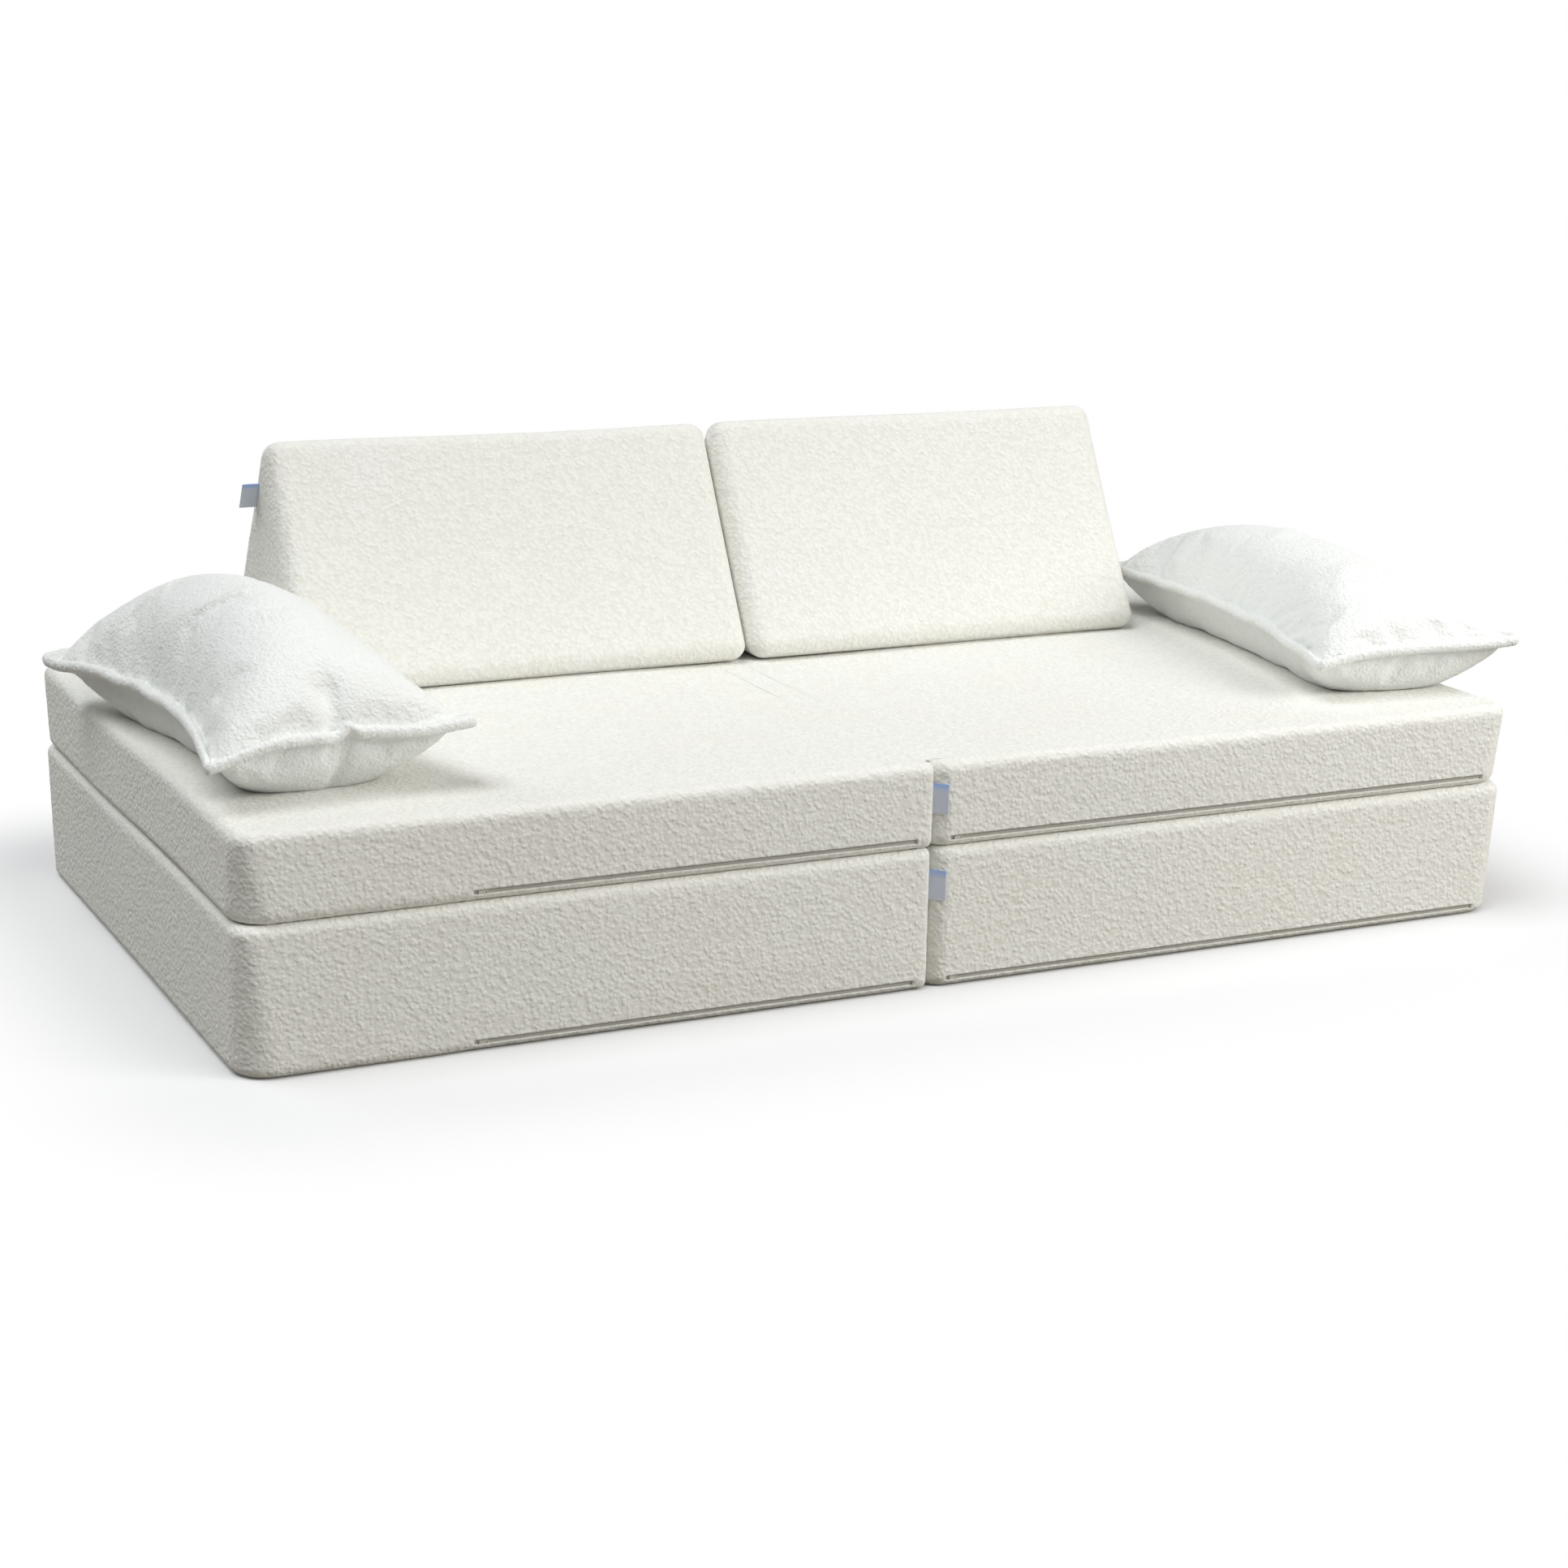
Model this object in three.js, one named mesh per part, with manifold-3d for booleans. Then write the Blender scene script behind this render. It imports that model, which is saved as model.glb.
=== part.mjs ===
// Modular foam play sofa: a folding base, a folding seat on it, two back wedges and two loose pillows.
// Millimetres. X runs along the sofa, the front looks along -Y, Z is up and the floor is Z = 0.
// The sofa is drawn around its fold line, and foldPlace puts the middle of sofa and pillows at X = 0.
import * as THREE from 'three';
import { mergeVertices } from 'three/addons/utils/BufferGeometryUtils.js';
import Module from 'manifold-3d';

const wasm = await Module();
wasm.setup();

// Whole sofa
const sofaLength = 1680;
const sofaDepth = 884;
const foldGap = 4;
const foldPlace = -40;
const baseHeight = 173;
const seatThickness = 102.7;

// Fits: the air that touching pieces keep, and how far a cutting solid passes what it cuts
const clearance = 0.3;
const overrun = 4;

// Boucle cover of every cushion
const coverThickness = 5;
const seamInset = 1;

// Rolled edges of the base and seat blocks. Their end corners are tight at the top and full at the foot.
const topRoll = 12;
const footRoll = 14;
const foldRoll = 5;
const endCornerTopRadius = 26;
const endCornerFootRadius = 44;
const foldCornerRadius = 22;
const foldPanelRadius = 9;
const leastRadius = 2;

// Cover strip that joins two halves along the top
const foldStripWidth = 32;
const foldStripThickness = 2;
const foldStripEndInset = 25;

// Zip along the foot of each front, let into the upper facet of the rolled foot
const zipGrooveDepth = 3.6;
const zipTapeHeight = 5;
const zipTapeThickness = 1;
const zipSeamWidth = 0.6;
const zipFoldInset = 20;
const zipLeftEndInset = 268;
const zipRightEndInset = 40;
const wedgeZipEndInset = 60;
const wedgeZipSeamWidth = 6;
const sliderLength = 11;
const sliderHeight = 4.4;
const sliderThickness = 1.6;
const sliderEyeRadius = 0.9;
const sliderEndGap = 6;

// Folded labels
const labelReach = 22;
const labelHeight = 36;
const labelThickness = 1.4;
const labelOverhang = 1;
const baseLabelHeight = 127;
const seatLabelHeight = 59;
const wedgeLabelHeight = 272;
const wedgeLabelInset = 26;

// Back wedges
const wedgeLeftEndSpace = 254.5;
const wedgeRightEndSpace = 208.5;
const wedgeGap = 4;
const wedgeGapPlace = 30.5;
const wedgeDepth = 345;
const wedgeHeight = 299;
const wedgeBackOverhang = 13;
const wedgeEdgeRadius = 20;
const wedgeEndRoll = 24;
const wedgePanelRadius = 9;
const wedgeApexShare = 0.51;

// Pillows. The middle of each lies its end space in from the seat's end and its front space behind the front.
// A seam is the height of the rim above the seat, at the middle of the sides and at each corner. The front of a
// seam rises by its front lift, and a side's middle is drawn in towards the filling.
const flangeWidth = 12;
const flangeThickness = 11;
const flangeEdgeShare = 0.6;
const pillowCoverThickness = 3;
const pillowZipWidth = 7;
const pillowZipThickness = 1.4;
const pillowZipEndSteps = 2;
const leftPillow = {
  side: 'left',
  width: 324,
  length: 584,
  turn: 4.1,
  endSpace: 130,
  frontSpace: 373,
  crown: 129,
  belly: 118,
  plumpShare: 0.53,
  leftDraw: 48,
  rightDraw: 34,
  endDraw: 5,
  seam: 66,
  frontLift: 9,
  cornerSeams: { frontLeft: 55, frontRight: 74, backLeft: 58, backRight: 80 },
  pressIn: 45,
};
const rightPillow = {
  side: 'right',
  width: 299,
  length: 650,
  turn: -6.9,
  endSpace: 56,
  frontSpace: 394,
  crown: 85,
  belly: 116,
  plumpShare: 0.44,
  leftDraw: 23,
  rightDraw: 44,
  endDraw: 5,
  seam: 65,
  frontLift: 0,
  cornerSeams: { frontLeft: 49, frontRight: 68, backLeft: 58, backRight: 38 },
  pressIn: 0,
};

// Counts of facets
const cornerSteps = 3;
const footSteps = 3;
const topSteps = 4;
const pillowAcrossSteps = 10;
const pillowAlongSteps = 14;
const eyeSteps = 8;

// Colours
const coverColour = '#efede4';
const pillowColour = '#f2f3f1';
const foamColour = '#e9dfc0';
const fibreColour = '#f7f7f4';
const tapeColour = '#c9c6ba';
const sliderColour = '#d6d3c8';
const labelColour = '#b4c3e2';

const frontPlace = -sofaDepth / 2;
const seatFloor = baseHeight + clearance;
const seatTop = seatFloor + seatThickness;
const right = new THREE.Vector3(1, 0, 0);
const left = new THREE.Vector3(-1, 0, 0);
const quarterTurn = Math.PI / 2;

function fabric(colour) {
  return new THREE.MeshStandardMaterial({ color: colour, roughness: 0.95, metalness: 0 });
}

function plastic(colour) {
  return new THREE.MeshStandardMaterial({ color: colour, roughness: 0.55, metalness: 0 });
}

const materials = {
  cover: fabric(coverColour),
  pillow: fabric(pillowColour),
  foam: fabric(foamColour),
  fibre: fabric(fibreColour),
  tape: fabric(tapeColour),
  label: fabric(labelColour),
  slider: plastic(sliderColour),
};

// Geometry from points and triangles, with shared points made one.
function meshGeometry(points, faces) {
  const geometry = new THREE.BufferGeometry();
  geometry.setAttribute('position', new THREE.Float32BufferAttribute(points.flatMap((p) => p.toArray()), 3));
  geometry.setIndex(faces);
  return mergeVertices(geometry);
}

function bareGeometry(geometry) {
  const bare = geometry.clone();
  bare.deleteAttribute('normal');
  bare.deleteAttribute('uv');
  return mergeVertices(bare);
}

function toSolid(geometry) {
  const bare = bareGeometry(geometry);
  const vertProperties = new Float32Array(bare.attributes.position.array);
  const triVerts = new Uint32Array(bare.index.array);
  return new wasm.Manifold(new wasm.Mesh({ numProp: 3, vertProperties, triVerts }));
}

function toGeometry(solid) {
  const mesh = solid.getMesh();
  const geometry = new THREE.BufferGeometry();
  geometry.setAttribute('position', new THREE.Float32BufferAttribute(mesh.vertProperties, 3));
  geometry.setIndex(Array.from(mesh.triVerts));
  return geometry;
}

function cutAway(geometry, cutters) {
  return toGeometry(cutters.reduce((solid, cutter) => solid.subtract(toSolid(cutter)), toSolid(geometry)));
}

// A closed mesh through a stack of rings with equal counts of points.
function loft(rings) {
  const count = rings[0].length;
  const lastRing = (rings.length - 1) * count;
  const faces = [];
  for (let ring = 0; ring < rings.length - 1; ring += 1) {
    for (let i = 0; i < count; i += 1) {
      const here = ring * count + i;
      const beside = ring * count + ((i + 1) % count);
      faces.push(here, beside, beside + count, here, beside + count, here + count);
    }
  }
  for (let i = 1; i < count - 1; i += 1) {
    faces.push(0, i + 1, i);
    faces.push(lastRing, lastRing + i, lastRing + i + 1);
  }
  return meshGeometry(rings.flat(), faces);
}

function crossing(a, b) {
  const between = b.point.clone().sub(a.point);
  const reach = between.cross(b.along) / a.along.cross(b.along);
  return a.point.clone().addScaledVector(a.along, reach);
}

// A convex outline, counter-clockwise, with side i after corner i moved inward and each corner rounded.
function roundedOutline(corners, insets, radii) {
  const count = corners.length;
  const sides = corners.map((corner, i) => {
    const along = corners[(i + 1) % count].clone().sub(corner).normalize();
    const inward = new THREE.Vector2(-along.y, along.x);
    return { along, inward, point: corner.clone().addScaledVector(inward, insets[i]) };
  });
  return sides.flatMap((side, i) => {
    const before = sides[(i + count - 1) % count];
    const turn = Math.acos(before.along.dot(side.along));
    const radius = radii[i];
    const start = crossing(before, side).addScaledVector(before.along, -radius * Math.tan(turn / 2));
    const centre = start.addScaledVector(before.inward, radius);
    const arc = [];
    for (let step = 0; step <= cornerSteps; step += 1) {
      const outward = before.inward.clone().negate();
      outward.rotateAround(new THREE.Vector2(), (turn * step) / cornerSteps);
      arc.push(centre.clone().addScaledVector(outward, radius));
    }
    return arc;
  });
}

function rectangle(box) {
  return [
    new THREE.Vector2(box.xMin, box.yMin),
    new THREE.Vector2(box.xMax, box.yMin),
    new THREE.Vector2(box.xMax, box.yMax),
    new THREE.Vector2(box.xMin, box.yMax),
  ];
}

function boxGeometry(xMin, xMax, yMin, yMax, zMin, zMax) {
  const geometry = new THREE.BoxGeometry(xMax - xMin, yMax - yMin, zMax - zMin);
  return geometry.translate((xMin + xMax) / 2, (yMin + yMax) / 2, (zMin + zMax) / 2);
}

// Values for a half's four sides and four corners, where the fold side differs from the rest.
function bySide(box, plain, fold) {
  return box.side === 'left' ? [plain, fold, plain, plain] : [plain, plain, plain, fold];
}

function byCorner(box, plain, fold) {
  return box.side === 'left' ? [plain, fold, fold, plain] : [fold, plain, plain, fold];
}

// Stations around a quarter-round roll, in from the side and up from the foot, in shares of its radius.
function rollStations(steps) {
  const stations = [];
  for (let step = 0; step <= steps; step += 1) {
    const angle = (quarterTurn * step) / steps;
    stations.push({ inShare: 1 - Math.sin(angle), upShare: 1 - Math.cos(angle) });
  }
  return stations;
}

// One half of the base or the seat, with rolled edges, drawn in on every face by the same amount.
function blockGeometry(box, drawnIn) {
  const roll = (radius) => Math.max(radius - drawnIn, leastRadius);
  const plan = rectangle({
    xMin: box.xMin + drawnIn,
    xMax: box.xMax - drawnIn,
    yMin: box.yMin + drawnIn,
    yMax: box.yMax - drawnIn,
  });
  const ring = (inShare, radius, corner, height) => {
    const insets = bySide(box, radius * inShare, roll(foldRoll) * inShare);
    const endRadius = Math.max(roll(corner) - radius * inShare, leastRadius);
    const foldRadius = Math.max(roll(foldCornerRadius) - roll(foldRoll) * inShare, leastRadius);
    const outline = roundedOutline(plan, insets, byCorner(box, endRadius, foldRadius));
    return outline.map((p) => new THREE.Vector3(p.x, p.y, height));
  };
  const foot = rollStations(footSteps).map(({ inShare, upShare }) => (
    ring(inShare, roll(footRoll), endCornerFootRadius, box.zMin + drawnIn + roll(footRoll) * upShare)
  ));
  const top = rollStations(topSteps).map(({ inShare, upShare }) => (
    ring(inShare, roll(topRoll), endCornerTopRadius, box.zMax - drawnIn - roll(topRoll) * upShare)
  ));
  return loft([...foot, ...top.reverse()]);
}

// A flat cover panel over a box, with an inset for each side and a radius for each corner.
function panelGeometry(panel, grown, zMin, zMax) {
  const insets = panel.insets.map((inset) => inset - grown);
  const radii = panel.radii.map((radius) => radius + grown);
  const outline = roundedOutline(rectangle(panel.box), insets, radii);
  return loft([zMin, zMax].map((height) => outline.map((p) => new THREE.Vector3(p.x, p.y, height))));
}

// The panel in the top or the foot of a half, inside the seam on its rolled edges.
function halfPanel(box, edgeInset, foldInset, cornerRadius) {
  return {
    box,
    insets: bySide(box, edgeInset, foldInset),
    radii: byCorner(box, cornerRadius - edgeInset, foldPanelRadius),
  };
}

// The zip of a half runs along its front from near the fold to its outer end.
function zipRun(box) {
  if (box.side === 'left') return { xMin: box.xMin + zipLeftEndInset, xMax: box.xMax - zipFoldInset };
  return { xMin: box.xMin + zipFoldInset, xMax: box.xMax - zipRightEndInset };
}

// Slider without a pull tab, drawn flat in XY with its small eye, thickness along Z.
function sliderGeometry() {
  const shape = new THREE.Shape();
  const nose = sliderHeight / 2;
  shape.moveTo(-sliderLength / 2, -sliderHeight / 2);
  shape.lineTo(sliderLength / 2 - nose, -sliderHeight / 2);
  shape.absarc(sliderLength / 2 - nose, 0, nose, -quarterTurn, quarterTurn, false);
  shape.lineTo(-sliderLength / 2, sliderHeight / 2);
  shape.closePath();
  const eye = new THREE.Path();
  eye.absarc(sliderLength / 2 - nose, 0, sliderEyeRadius, 0, 2 * Math.PI, true);
  shape.holes.push(eye);
  const options = { depth: sliderThickness, bevelEnabled: false, curveSegments: eyeSteps };
  return new THREE.ExtrudeGeometry(shape, options).translate(0, 0, -sliderThickness / 2);
}

// Label folded in half like a hairpin: the fold is at the far end of its reach, both layers leave the seam.
function labelGeometry() {
  const layer = labelThickness / 3;
  const shape = new THREE.Shape();
  shape.moveTo(0, -labelThickness / 2);
  shape.lineTo(labelReach - labelThickness / 2, -labelThickness / 2);
  shape.absarc(labelReach - labelThickness / 2, 0, labelThickness / 2, -quarterTurn, quarterTurn, false);
  shape.lineTo(0, labelThickness / 2);
  shape.lineTo(0, layer / 2);
  shape.lineTo(labelReach - labelThickness, layer / 2);
  shape.lineTo(labelReach - labelThickness, -layer / 2);
  shape.lineTo(0, -layer / 2);
  shape.closePath();
  const options = { depth: labelHeight, bevelEnabled: false, curveSegments: cornerSteps };
  return new THREE.ExtrudeGeometry(shape, options).translate(0, 0, -labelHeight / 2);
}

const sofa = new THREE.Group();

function addMesh(name, geometry, material, matrix) {
  const mesh = new THREE.Mesh(bareGeometry(geometry), material);
  mesh.name = name;
  if (matrix) mesh.applyMatrix4(matrix);
  mesh.position.x += foldPlace;
  sofa.add(mesh);
  return mesh;
}

function matrixFrom(xAxis, yAxis, zAxis, place) {
  return new THREE.Matrix4().makeBasis(xAxis, yAxis, zAxis).setPosition(place);
}

// Groove, tape and slider seen square on: x along the run, y up the face, z out of the face from its surface.
function zipParts(run, foot) {
  const tapeFoot = foot + clearance;
  const tapeHead = tapeFoot + zipTapeHeight;
  const tapeBack = clearance - zipGrooveDepth;
  const tapeFace = tapeBack + zipTapeThickness;
  const sliderPlace = run.xMin + sliderEndGap + sliderLength / 2;
  const sliderMiddle = tapeFace + clearance + sliderThickness / 2;
  const grooveStart = run.xMin - clearance;
  const grooveEnd = run.xMax + clearance;
  return {
    groove: boxGeometry(grooveStart, grooveEnd, foot, tapeHead + clearance, -zipGrooveDepth, overrun),
    tape: boxGeometry(run.xMin, run.xMax, tapeFoot, tapeHead, tapeBack, tapeFace),
    slider: sliderGeometry().translate(sliderPlace, (tapeFoot + tapeHead) / 2, sliderMiddle),
  };
}

function addZip(name, zip, frame) {
  addMesh(name + '_zip_tape', zip.tape, materials.tape, frame);
  addMesh(name + '_zip_slider', zip.slider, materials.slider, frame);
}

// Places a flat drawing on a face: its x runs along the face, its y up the face, and its z leaves it.
function faceFrame(along, up, place) {
  return matrixFrom(along, up, along.clone().cross(up), place);
}

// The upper facet of a rolled foot: where it starts in Y and Z, and the way it goes up.
function footFacet(floor) {
  const lower = rollStations(footSteps)[footSteps - 1];
  const inset = footRoll * lower.inShare;
  const rise = footRoll * lower.upShare;
  const start = new THREE.Vector3(0, frontPlace + inset, floor + rise);
  const up = new THREE.Vector3(0, -inset, footRoll - rise).normalize();
  return { start, up };
}

function addHalf(name, side, floor, ceiling) {
  const box = {
    side,
    xMin: side === 'left' ? -sofaLength / 2 : foldGap / 2,
    xMax: side === 'left' ? -foldGap / 2 : sofaLength / 2,
    yMin: frontPlace,
    yMax: -frontPlace,
    zMin: floor + clearance,
    zMax: ceiling,
  };
  const besideStrip = (foldStripWidth - foldGap) / 2 + clearance;
  const topPanel = halfPanel(box, topRoll + seamInset, besideStrip, endCornerTopRadius);
  const footPanel = halfPanel(box, footRoll + seamInset, foldRoll + seamInset, endCornerFootRadius);
  const topLevel = ceiling - coverThickness;
  const footLevel = floor + coverThickness;
  const zip = zipParts(zipRun(box), zipSeamWidth);
  const facet = footFacet(box.zMin);
  const zipFrame = faceFrame(right, facet.up, facet.start);
  const band = cutAway(blockGeometry(box, 0), [
    blockGeometry(box, coverThickness),
    panelGeometry(topPanel, clearance, topLevel - overrun, ceiling + overrun),
    panelGeometry(footPanel, clearance, floor - overrun, footLevel + overrun),
    foldStripGeometry(ceiling, clearance, overrun),
    zip.groove.clone().applyMatrix4(zipFrame),
  ]);
  addMesh(name + '_foam', blockGeometry(box, coverThickness + clearance), materials.foam);
  addMesh(name + '_side_band', band, materials.cover);
  addMesh(name + '_top_panel', panelGeometry(topPanel, 0, topLevel, ceiling), materials.cover);
  addMesh(name + '_bottom_panel', panelGeometry(footPanel, 0, floor, footLevel), materials.cover);
  addZip(name, zip, zipFrame);
}

// Fabric strip, flush with the top, on which the right half folds over the left one.
function foldStripGeometry(ceiling, grown, raised) {
  const reach = foldStripWidth / 2 + grown;
  const end = sofaDepth / 2 - foldStripEndInset + grown;
  return boxGeometry(-reach, reach, -end, end, ceiling - foldStripThickness - grown, ceiling + raised);
}

function addFoldStrip(name, ceiling) {
  addMesh(name + '_fold_strip', foldStripGeometry(ceiling, 0, 0), materials.cover);
}

// Label sewn into the fold side of a right half, lying across its rounded front corner.
function addSlotLabel(name, floor, height) {
  const outward = new THREE.Vector3(-Math.SQRT1_2, -Math.SQRT1_2, 0);
  const forward = new THREE.Vector3(Math.SQRT1_2, -Math.SQRT1_2, 0);
  const up = new THREE.Vector3(0, 0, 1);
  const inset = foldGap / 2 + foldCornerRadius;
  const facetReach = foldCornerRadius * Math.cos(quarterTurn / cornerSteps / 2);
  const place = new THREE.Vector3(inset, frontPlace + foldCornerRadius, floor + height);
  place.addScaledVector(outward, facetReach + clearance + labelThickness / 2);
  place.addScaledVector(forward, labelOverhang - labelReach / 2);
  const frame = matrixFrom(forward, up.clone().cross(forward), up, place);
  addMesh(name + '_label', labelGeometry(), materials.label, frame);
}

// Wedge section in Y and Z: front foot, back foot, apex. The rounded apex tops out at the finished height.
function wedgeSection(floor) {
  const backFoot = -frontPlace + wedgeBackOverhang;
  const frontFoot = backFoot - wedgeDepth;
  const apexPlace = frontFoot + wedgeDepth * wedgeApexShare;
  const frontRun = apexPlace - frontFoot;
  const backRun = backFoot - apexPlace;
  const halfApex = (Math.atan(frontRun / wedgeHeight) + Math.atan(backRun / wedgeHeight)) / 2;
  const apexRise = wedgeEdgeRadius * (1 / Math.sin(halfApex) - 1);
  return [
    new THREE.Vector2(frontFoot, floor),
    new THREE.Vector2(backFoot, floor),
    new THREE.Vector2(apexPlace, floor + wedgeHeight + apexRise),
  ];
}

function wedgeOutline(section, inset) {
  const radius = Math.max(wedgeEdgeRadius - inset, leastRadius);
  return roundedOutline(section, section.map(() => inset), section.map(() => radius));
}

function wedgeGeometry(section, xMin, xMax, drawnIn) {
  const roll = Math.max(wedgeEndRoll - drawnIn, leastRadius);
  const ring = (inShare, place) => (
    wedgeOutline(section, drawnIn + roll * inShare).map((p) => new THREE.Vector3(place, p.x, p.y))
  );
  const stations = rollStations(footSteps);
  const start = stations.map(({ inShare, upShare }) => ring(inShare, xMin + drawnIn + roll * upShare));
  const end = stations.map(({ inShare, upShare }) => ring(inShare, xMax - drawnIn - roll * upShare));
  return loft([...start, ...end.reverse()]);
}

function gussetGeometry(section, grown, xMin, xMax) {
  const outline = wedgeOutline(section, wedgeEndRoll + seamInset - grown);
  return loft([xMin, xMax].map((place) => outline.map((p) => new THREE.Vector3(place, p.x, p.y))));
}

// How far a rounded foot edge reaches along a side from its sharp corner.
function edgeReach(section, corner) {
  const before = section[(corner + 2) % 3].clone().sub(section[corner]);
  const after = section[(corner + 1) % 3].clone().sub(section[corner]);
  return wedgeEdgeRadius / Math.tan(Math.abs(before.angleTo(after)) / 2);
}

function wedgePanel(section, xMin, xMax) {
  return {
    box: {
      xMin: xMin + wedgeEndRoll,
      xMax: xMax - wedgeEndRoll,
      yMin: section[0].x + edgeReach(section, 0),
      yMax: section[1].x - edgeReach(section, 1),
    },
    insets: [seamInset, seamInset, seamInset, seamInset],
    radii: [wedgePanelRadius, wedgePanelRadius, wedgePanelRadius, wedgePanelRadius],
  };
}

// One back wedge. Its wrap stands a clearance above the bottom panel's face, on which the wedge rests.
function addWedge(name, xMin, xMax) {
  const floor = seatTop + clearance;
  const panelLevel = floor + coverThickness;
  const section = wedgeSection(floor + clearance);
  const panel = wedgePanel(section, xMin, xMax);
  const slope = section[2].clone().sub(section[1]).normalize();
  const upSlope = new THREE.Vector3(0, slope.x, slope.y);
  const heel = new THREE.Vector3(0, section[1].x, section[1].y);
  heel.addScaledVector(upSlope, edgeReach(section, 1));
  const zip = zipParts({ xMin: wedgeZipEndInset - xMax, xMax: -xMin - wedgeZipEndInset }, wedgeZipSeamWidth);
  const zipFrame = faceFrame(left, upSlope, heel);
  const wrap = cutAway(wedgeGeometry(section, xMin, xMax, 0), [
    wedgeGeometry(section, xMin, xMax, coverThickness),
    gussetGeometry(section, clearance, xMin - overrun, xMin + coverThickness + overrun),
    gussetGeometry(section, clearance, xMax - coverThickness - overrun, xMax + overrun),
    panelGeometry(panel, clearance, floor - overrun, panelLevel + overrun),
    zip.groove.clone().applyMatrix4(zipFrame),
  ]);
  const foam = wedgeGeometry(section, xMin, xMax, coverThickness + clearance);
  const leftGusset = gussetGeometry(section, 0, xMin, xMin + coverThickness);
  const rightGusset = gussetGeometry(section, 0, xMax - coverThickness, xMax);
  addMesh(name + '_foam', foam, materials.foam);
  addMesh(name + '_cover_wrap', wrap, materials.cover);
  addMesh(name + '_left_gusset', leftGusset, materials.cover);
  addMesh(name + '_right_gusset', rightGusset, materials.cover);
  addMesh(name + '_bottom_panel', panelGeometry(panel, 0, floor, panelLevel), materials.cover);
  addZip(name, zip, zipFrame);
  return { section, upSlope };
}

// Label sewn into the seam of the left gusset, near the back of the left wedge.
function addWedgeLabel(name, wedge, end) {
  const backFoot = wedge.section[1];
  const outward = left.clone().cross(wedge.upSlope);
  const place = new THREE.Vector3(end - clearance, backFoot.x, backFoot.y);
  place.addScaledVector(wedge.upSlope, wedgeLabelHeight).addScaledVector(outward, -wedgeLabelInset);
  const frame = matrixFrom(left, wedge.upSlope.clone().cross(left), wedge.upSlope, place);
  addMesh(name + '_label', labelGeometry(), materials.label, frame);
}

// Places in a pillow are given by u across it and v along it, both from -1 to 1.
function pillowPlan(pillow, u, v, drawnIn) {
  const halfWidth = pillow.width / 2 - flangeWidth - drawnIn;
  const halfLength = pillow.length / 2 - flangeWidth - drawnIn;
  const pressShare = ((u + 1) / 2) * Math.max((v + 1) / 2, 0) ** 2;
  const sideDraw = u < 0 ? pillow.leftDraw : pillow.rightDraw;
  const place = new THREE.Vector2(
    u * (halfWidth - sideDraw * (1 - v * v)) - pillow.pressIn * pressShare,
    v * (halfLength - pillow.endDraw * (1 - u * u)),
  );
  place.rotateAround(new THREE.Vector2(), THREE.MathUtils.degToRad(pillow.turn));
  const outward = pillow.side === 'left' ? -1 : 1;
  const fromFold = outward * (sofaLength / 2 - pillow.endSpace);
  return place.add(new THREE.Vector2(fromFold, frontPlace + pillow.frontSpace));
}

function pillowSeam(pillow, u, v) {
  const corners = pillow.cornerSeams;
  const left = (1 - u) / 2;
  const front = (1 - v) / 2;
  const mixed = front * (left * corners.frontLeft + (1 - left) * corners.frontRight)
    + (1 - front) * (left * corners.backLeft + (1 - left) * corners.backRight);
  const lift = pillow.frontLift * Math.max(-v, 0) ** 2 * (1 - u * u);
  return seatTop + pillow.seam + lift + (mixed - pillow.seam) * (u * v) ** 2;
}

function pillowShape(pillow, u, v) {
  return Math.max((1 - u * u) * (1 - v * v), 0) ** pillow.plumpShare;
}

// A point on the crown (side 1) or the belly (side -1) of a layer drawn in by the given amount.
function pillowPoint(pillow, u, v, facing, drawnIn, lift) {
  const plan = pillowPlan(pillow, u, v, drawnIn);
  const rim = pillowSeam(pillow, u, v) + facing * lift;
  const shape = pillowShape(pillow, u, v);
  if (facing > 0) return new THREE.Vector3(plan.x, plan.y, rim + (pillow.crown - drawnIn) * shape);
  const rest = seatTop + clearance + drawnIn;
  return new THREE.Vector3(plan.x, plan.y, Math.max(rim - (pillow.belly - drawnIn) * shape, rest));
}

function pillowShare(step, steps) {
  return Math.sin(quarterTurn * ((2 * step) / steps - 1));
}

function pillowSheet(pillow, facing, drawnIn, lift) {
  const points = [];
  for (let i = 0; i <= pillowAcrossSteps; i += 1) {
    for (let j = 0; j <= pillowAlongSteps; j += 1) {
      const u = pillowShare(i, pillowAcrossSteps);
      const v = pillowShare(j, pillowAlongSteps);
      points.push(pillowPoint(pillow, u, v, facing, drawnIn, lift));
    }
  }
  return points;
}

function sheetFaces(start, facing) {
  const row = pillowAlongSteps + 1;
  const faces = [];
  for (let i = 0; i < pillowAcrossSteps; i += 1) {
    for (let j = 0; j < pillowAlongSteps; j += 1) {
      const a = start + i * row + j;
      const across = a + row + 1;
      if (facing > 0) faces.push(a, a + row, across, a, across, a + 1);
      else faces.push(a, across, a + row, a, a + 1, across);
    }
  }
  return faces;
}

// Grid numbers of the rim, counter-clockwise seen from above, with the share of each place.
function rimPlaces() {
  const places = [];
  const row = pillowAlongSteps + 1;
  for (let i = 0; i < pillowAcrossSteps; i += 1) places.push([i, 0]);
  for (let j = 0; j < pillowAlongSteps; j += 1) places.push([pillowAcrossSteps, j]);
  for (let i = pillowAcrossSteps; i > 0; i -= 1) places.push([i, pillowAlongSteps]);
  for (let j = pillowAlongSteps; j > 0; j -= 1) places.push([0, j]);
  return places.map(([i, j]) => ({
    number: i * row + j,
    u: pillowShare(i, pillowAcrossSteps),
    v: pillowShare(j, pillowAlongSteps),
  }));
}

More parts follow.
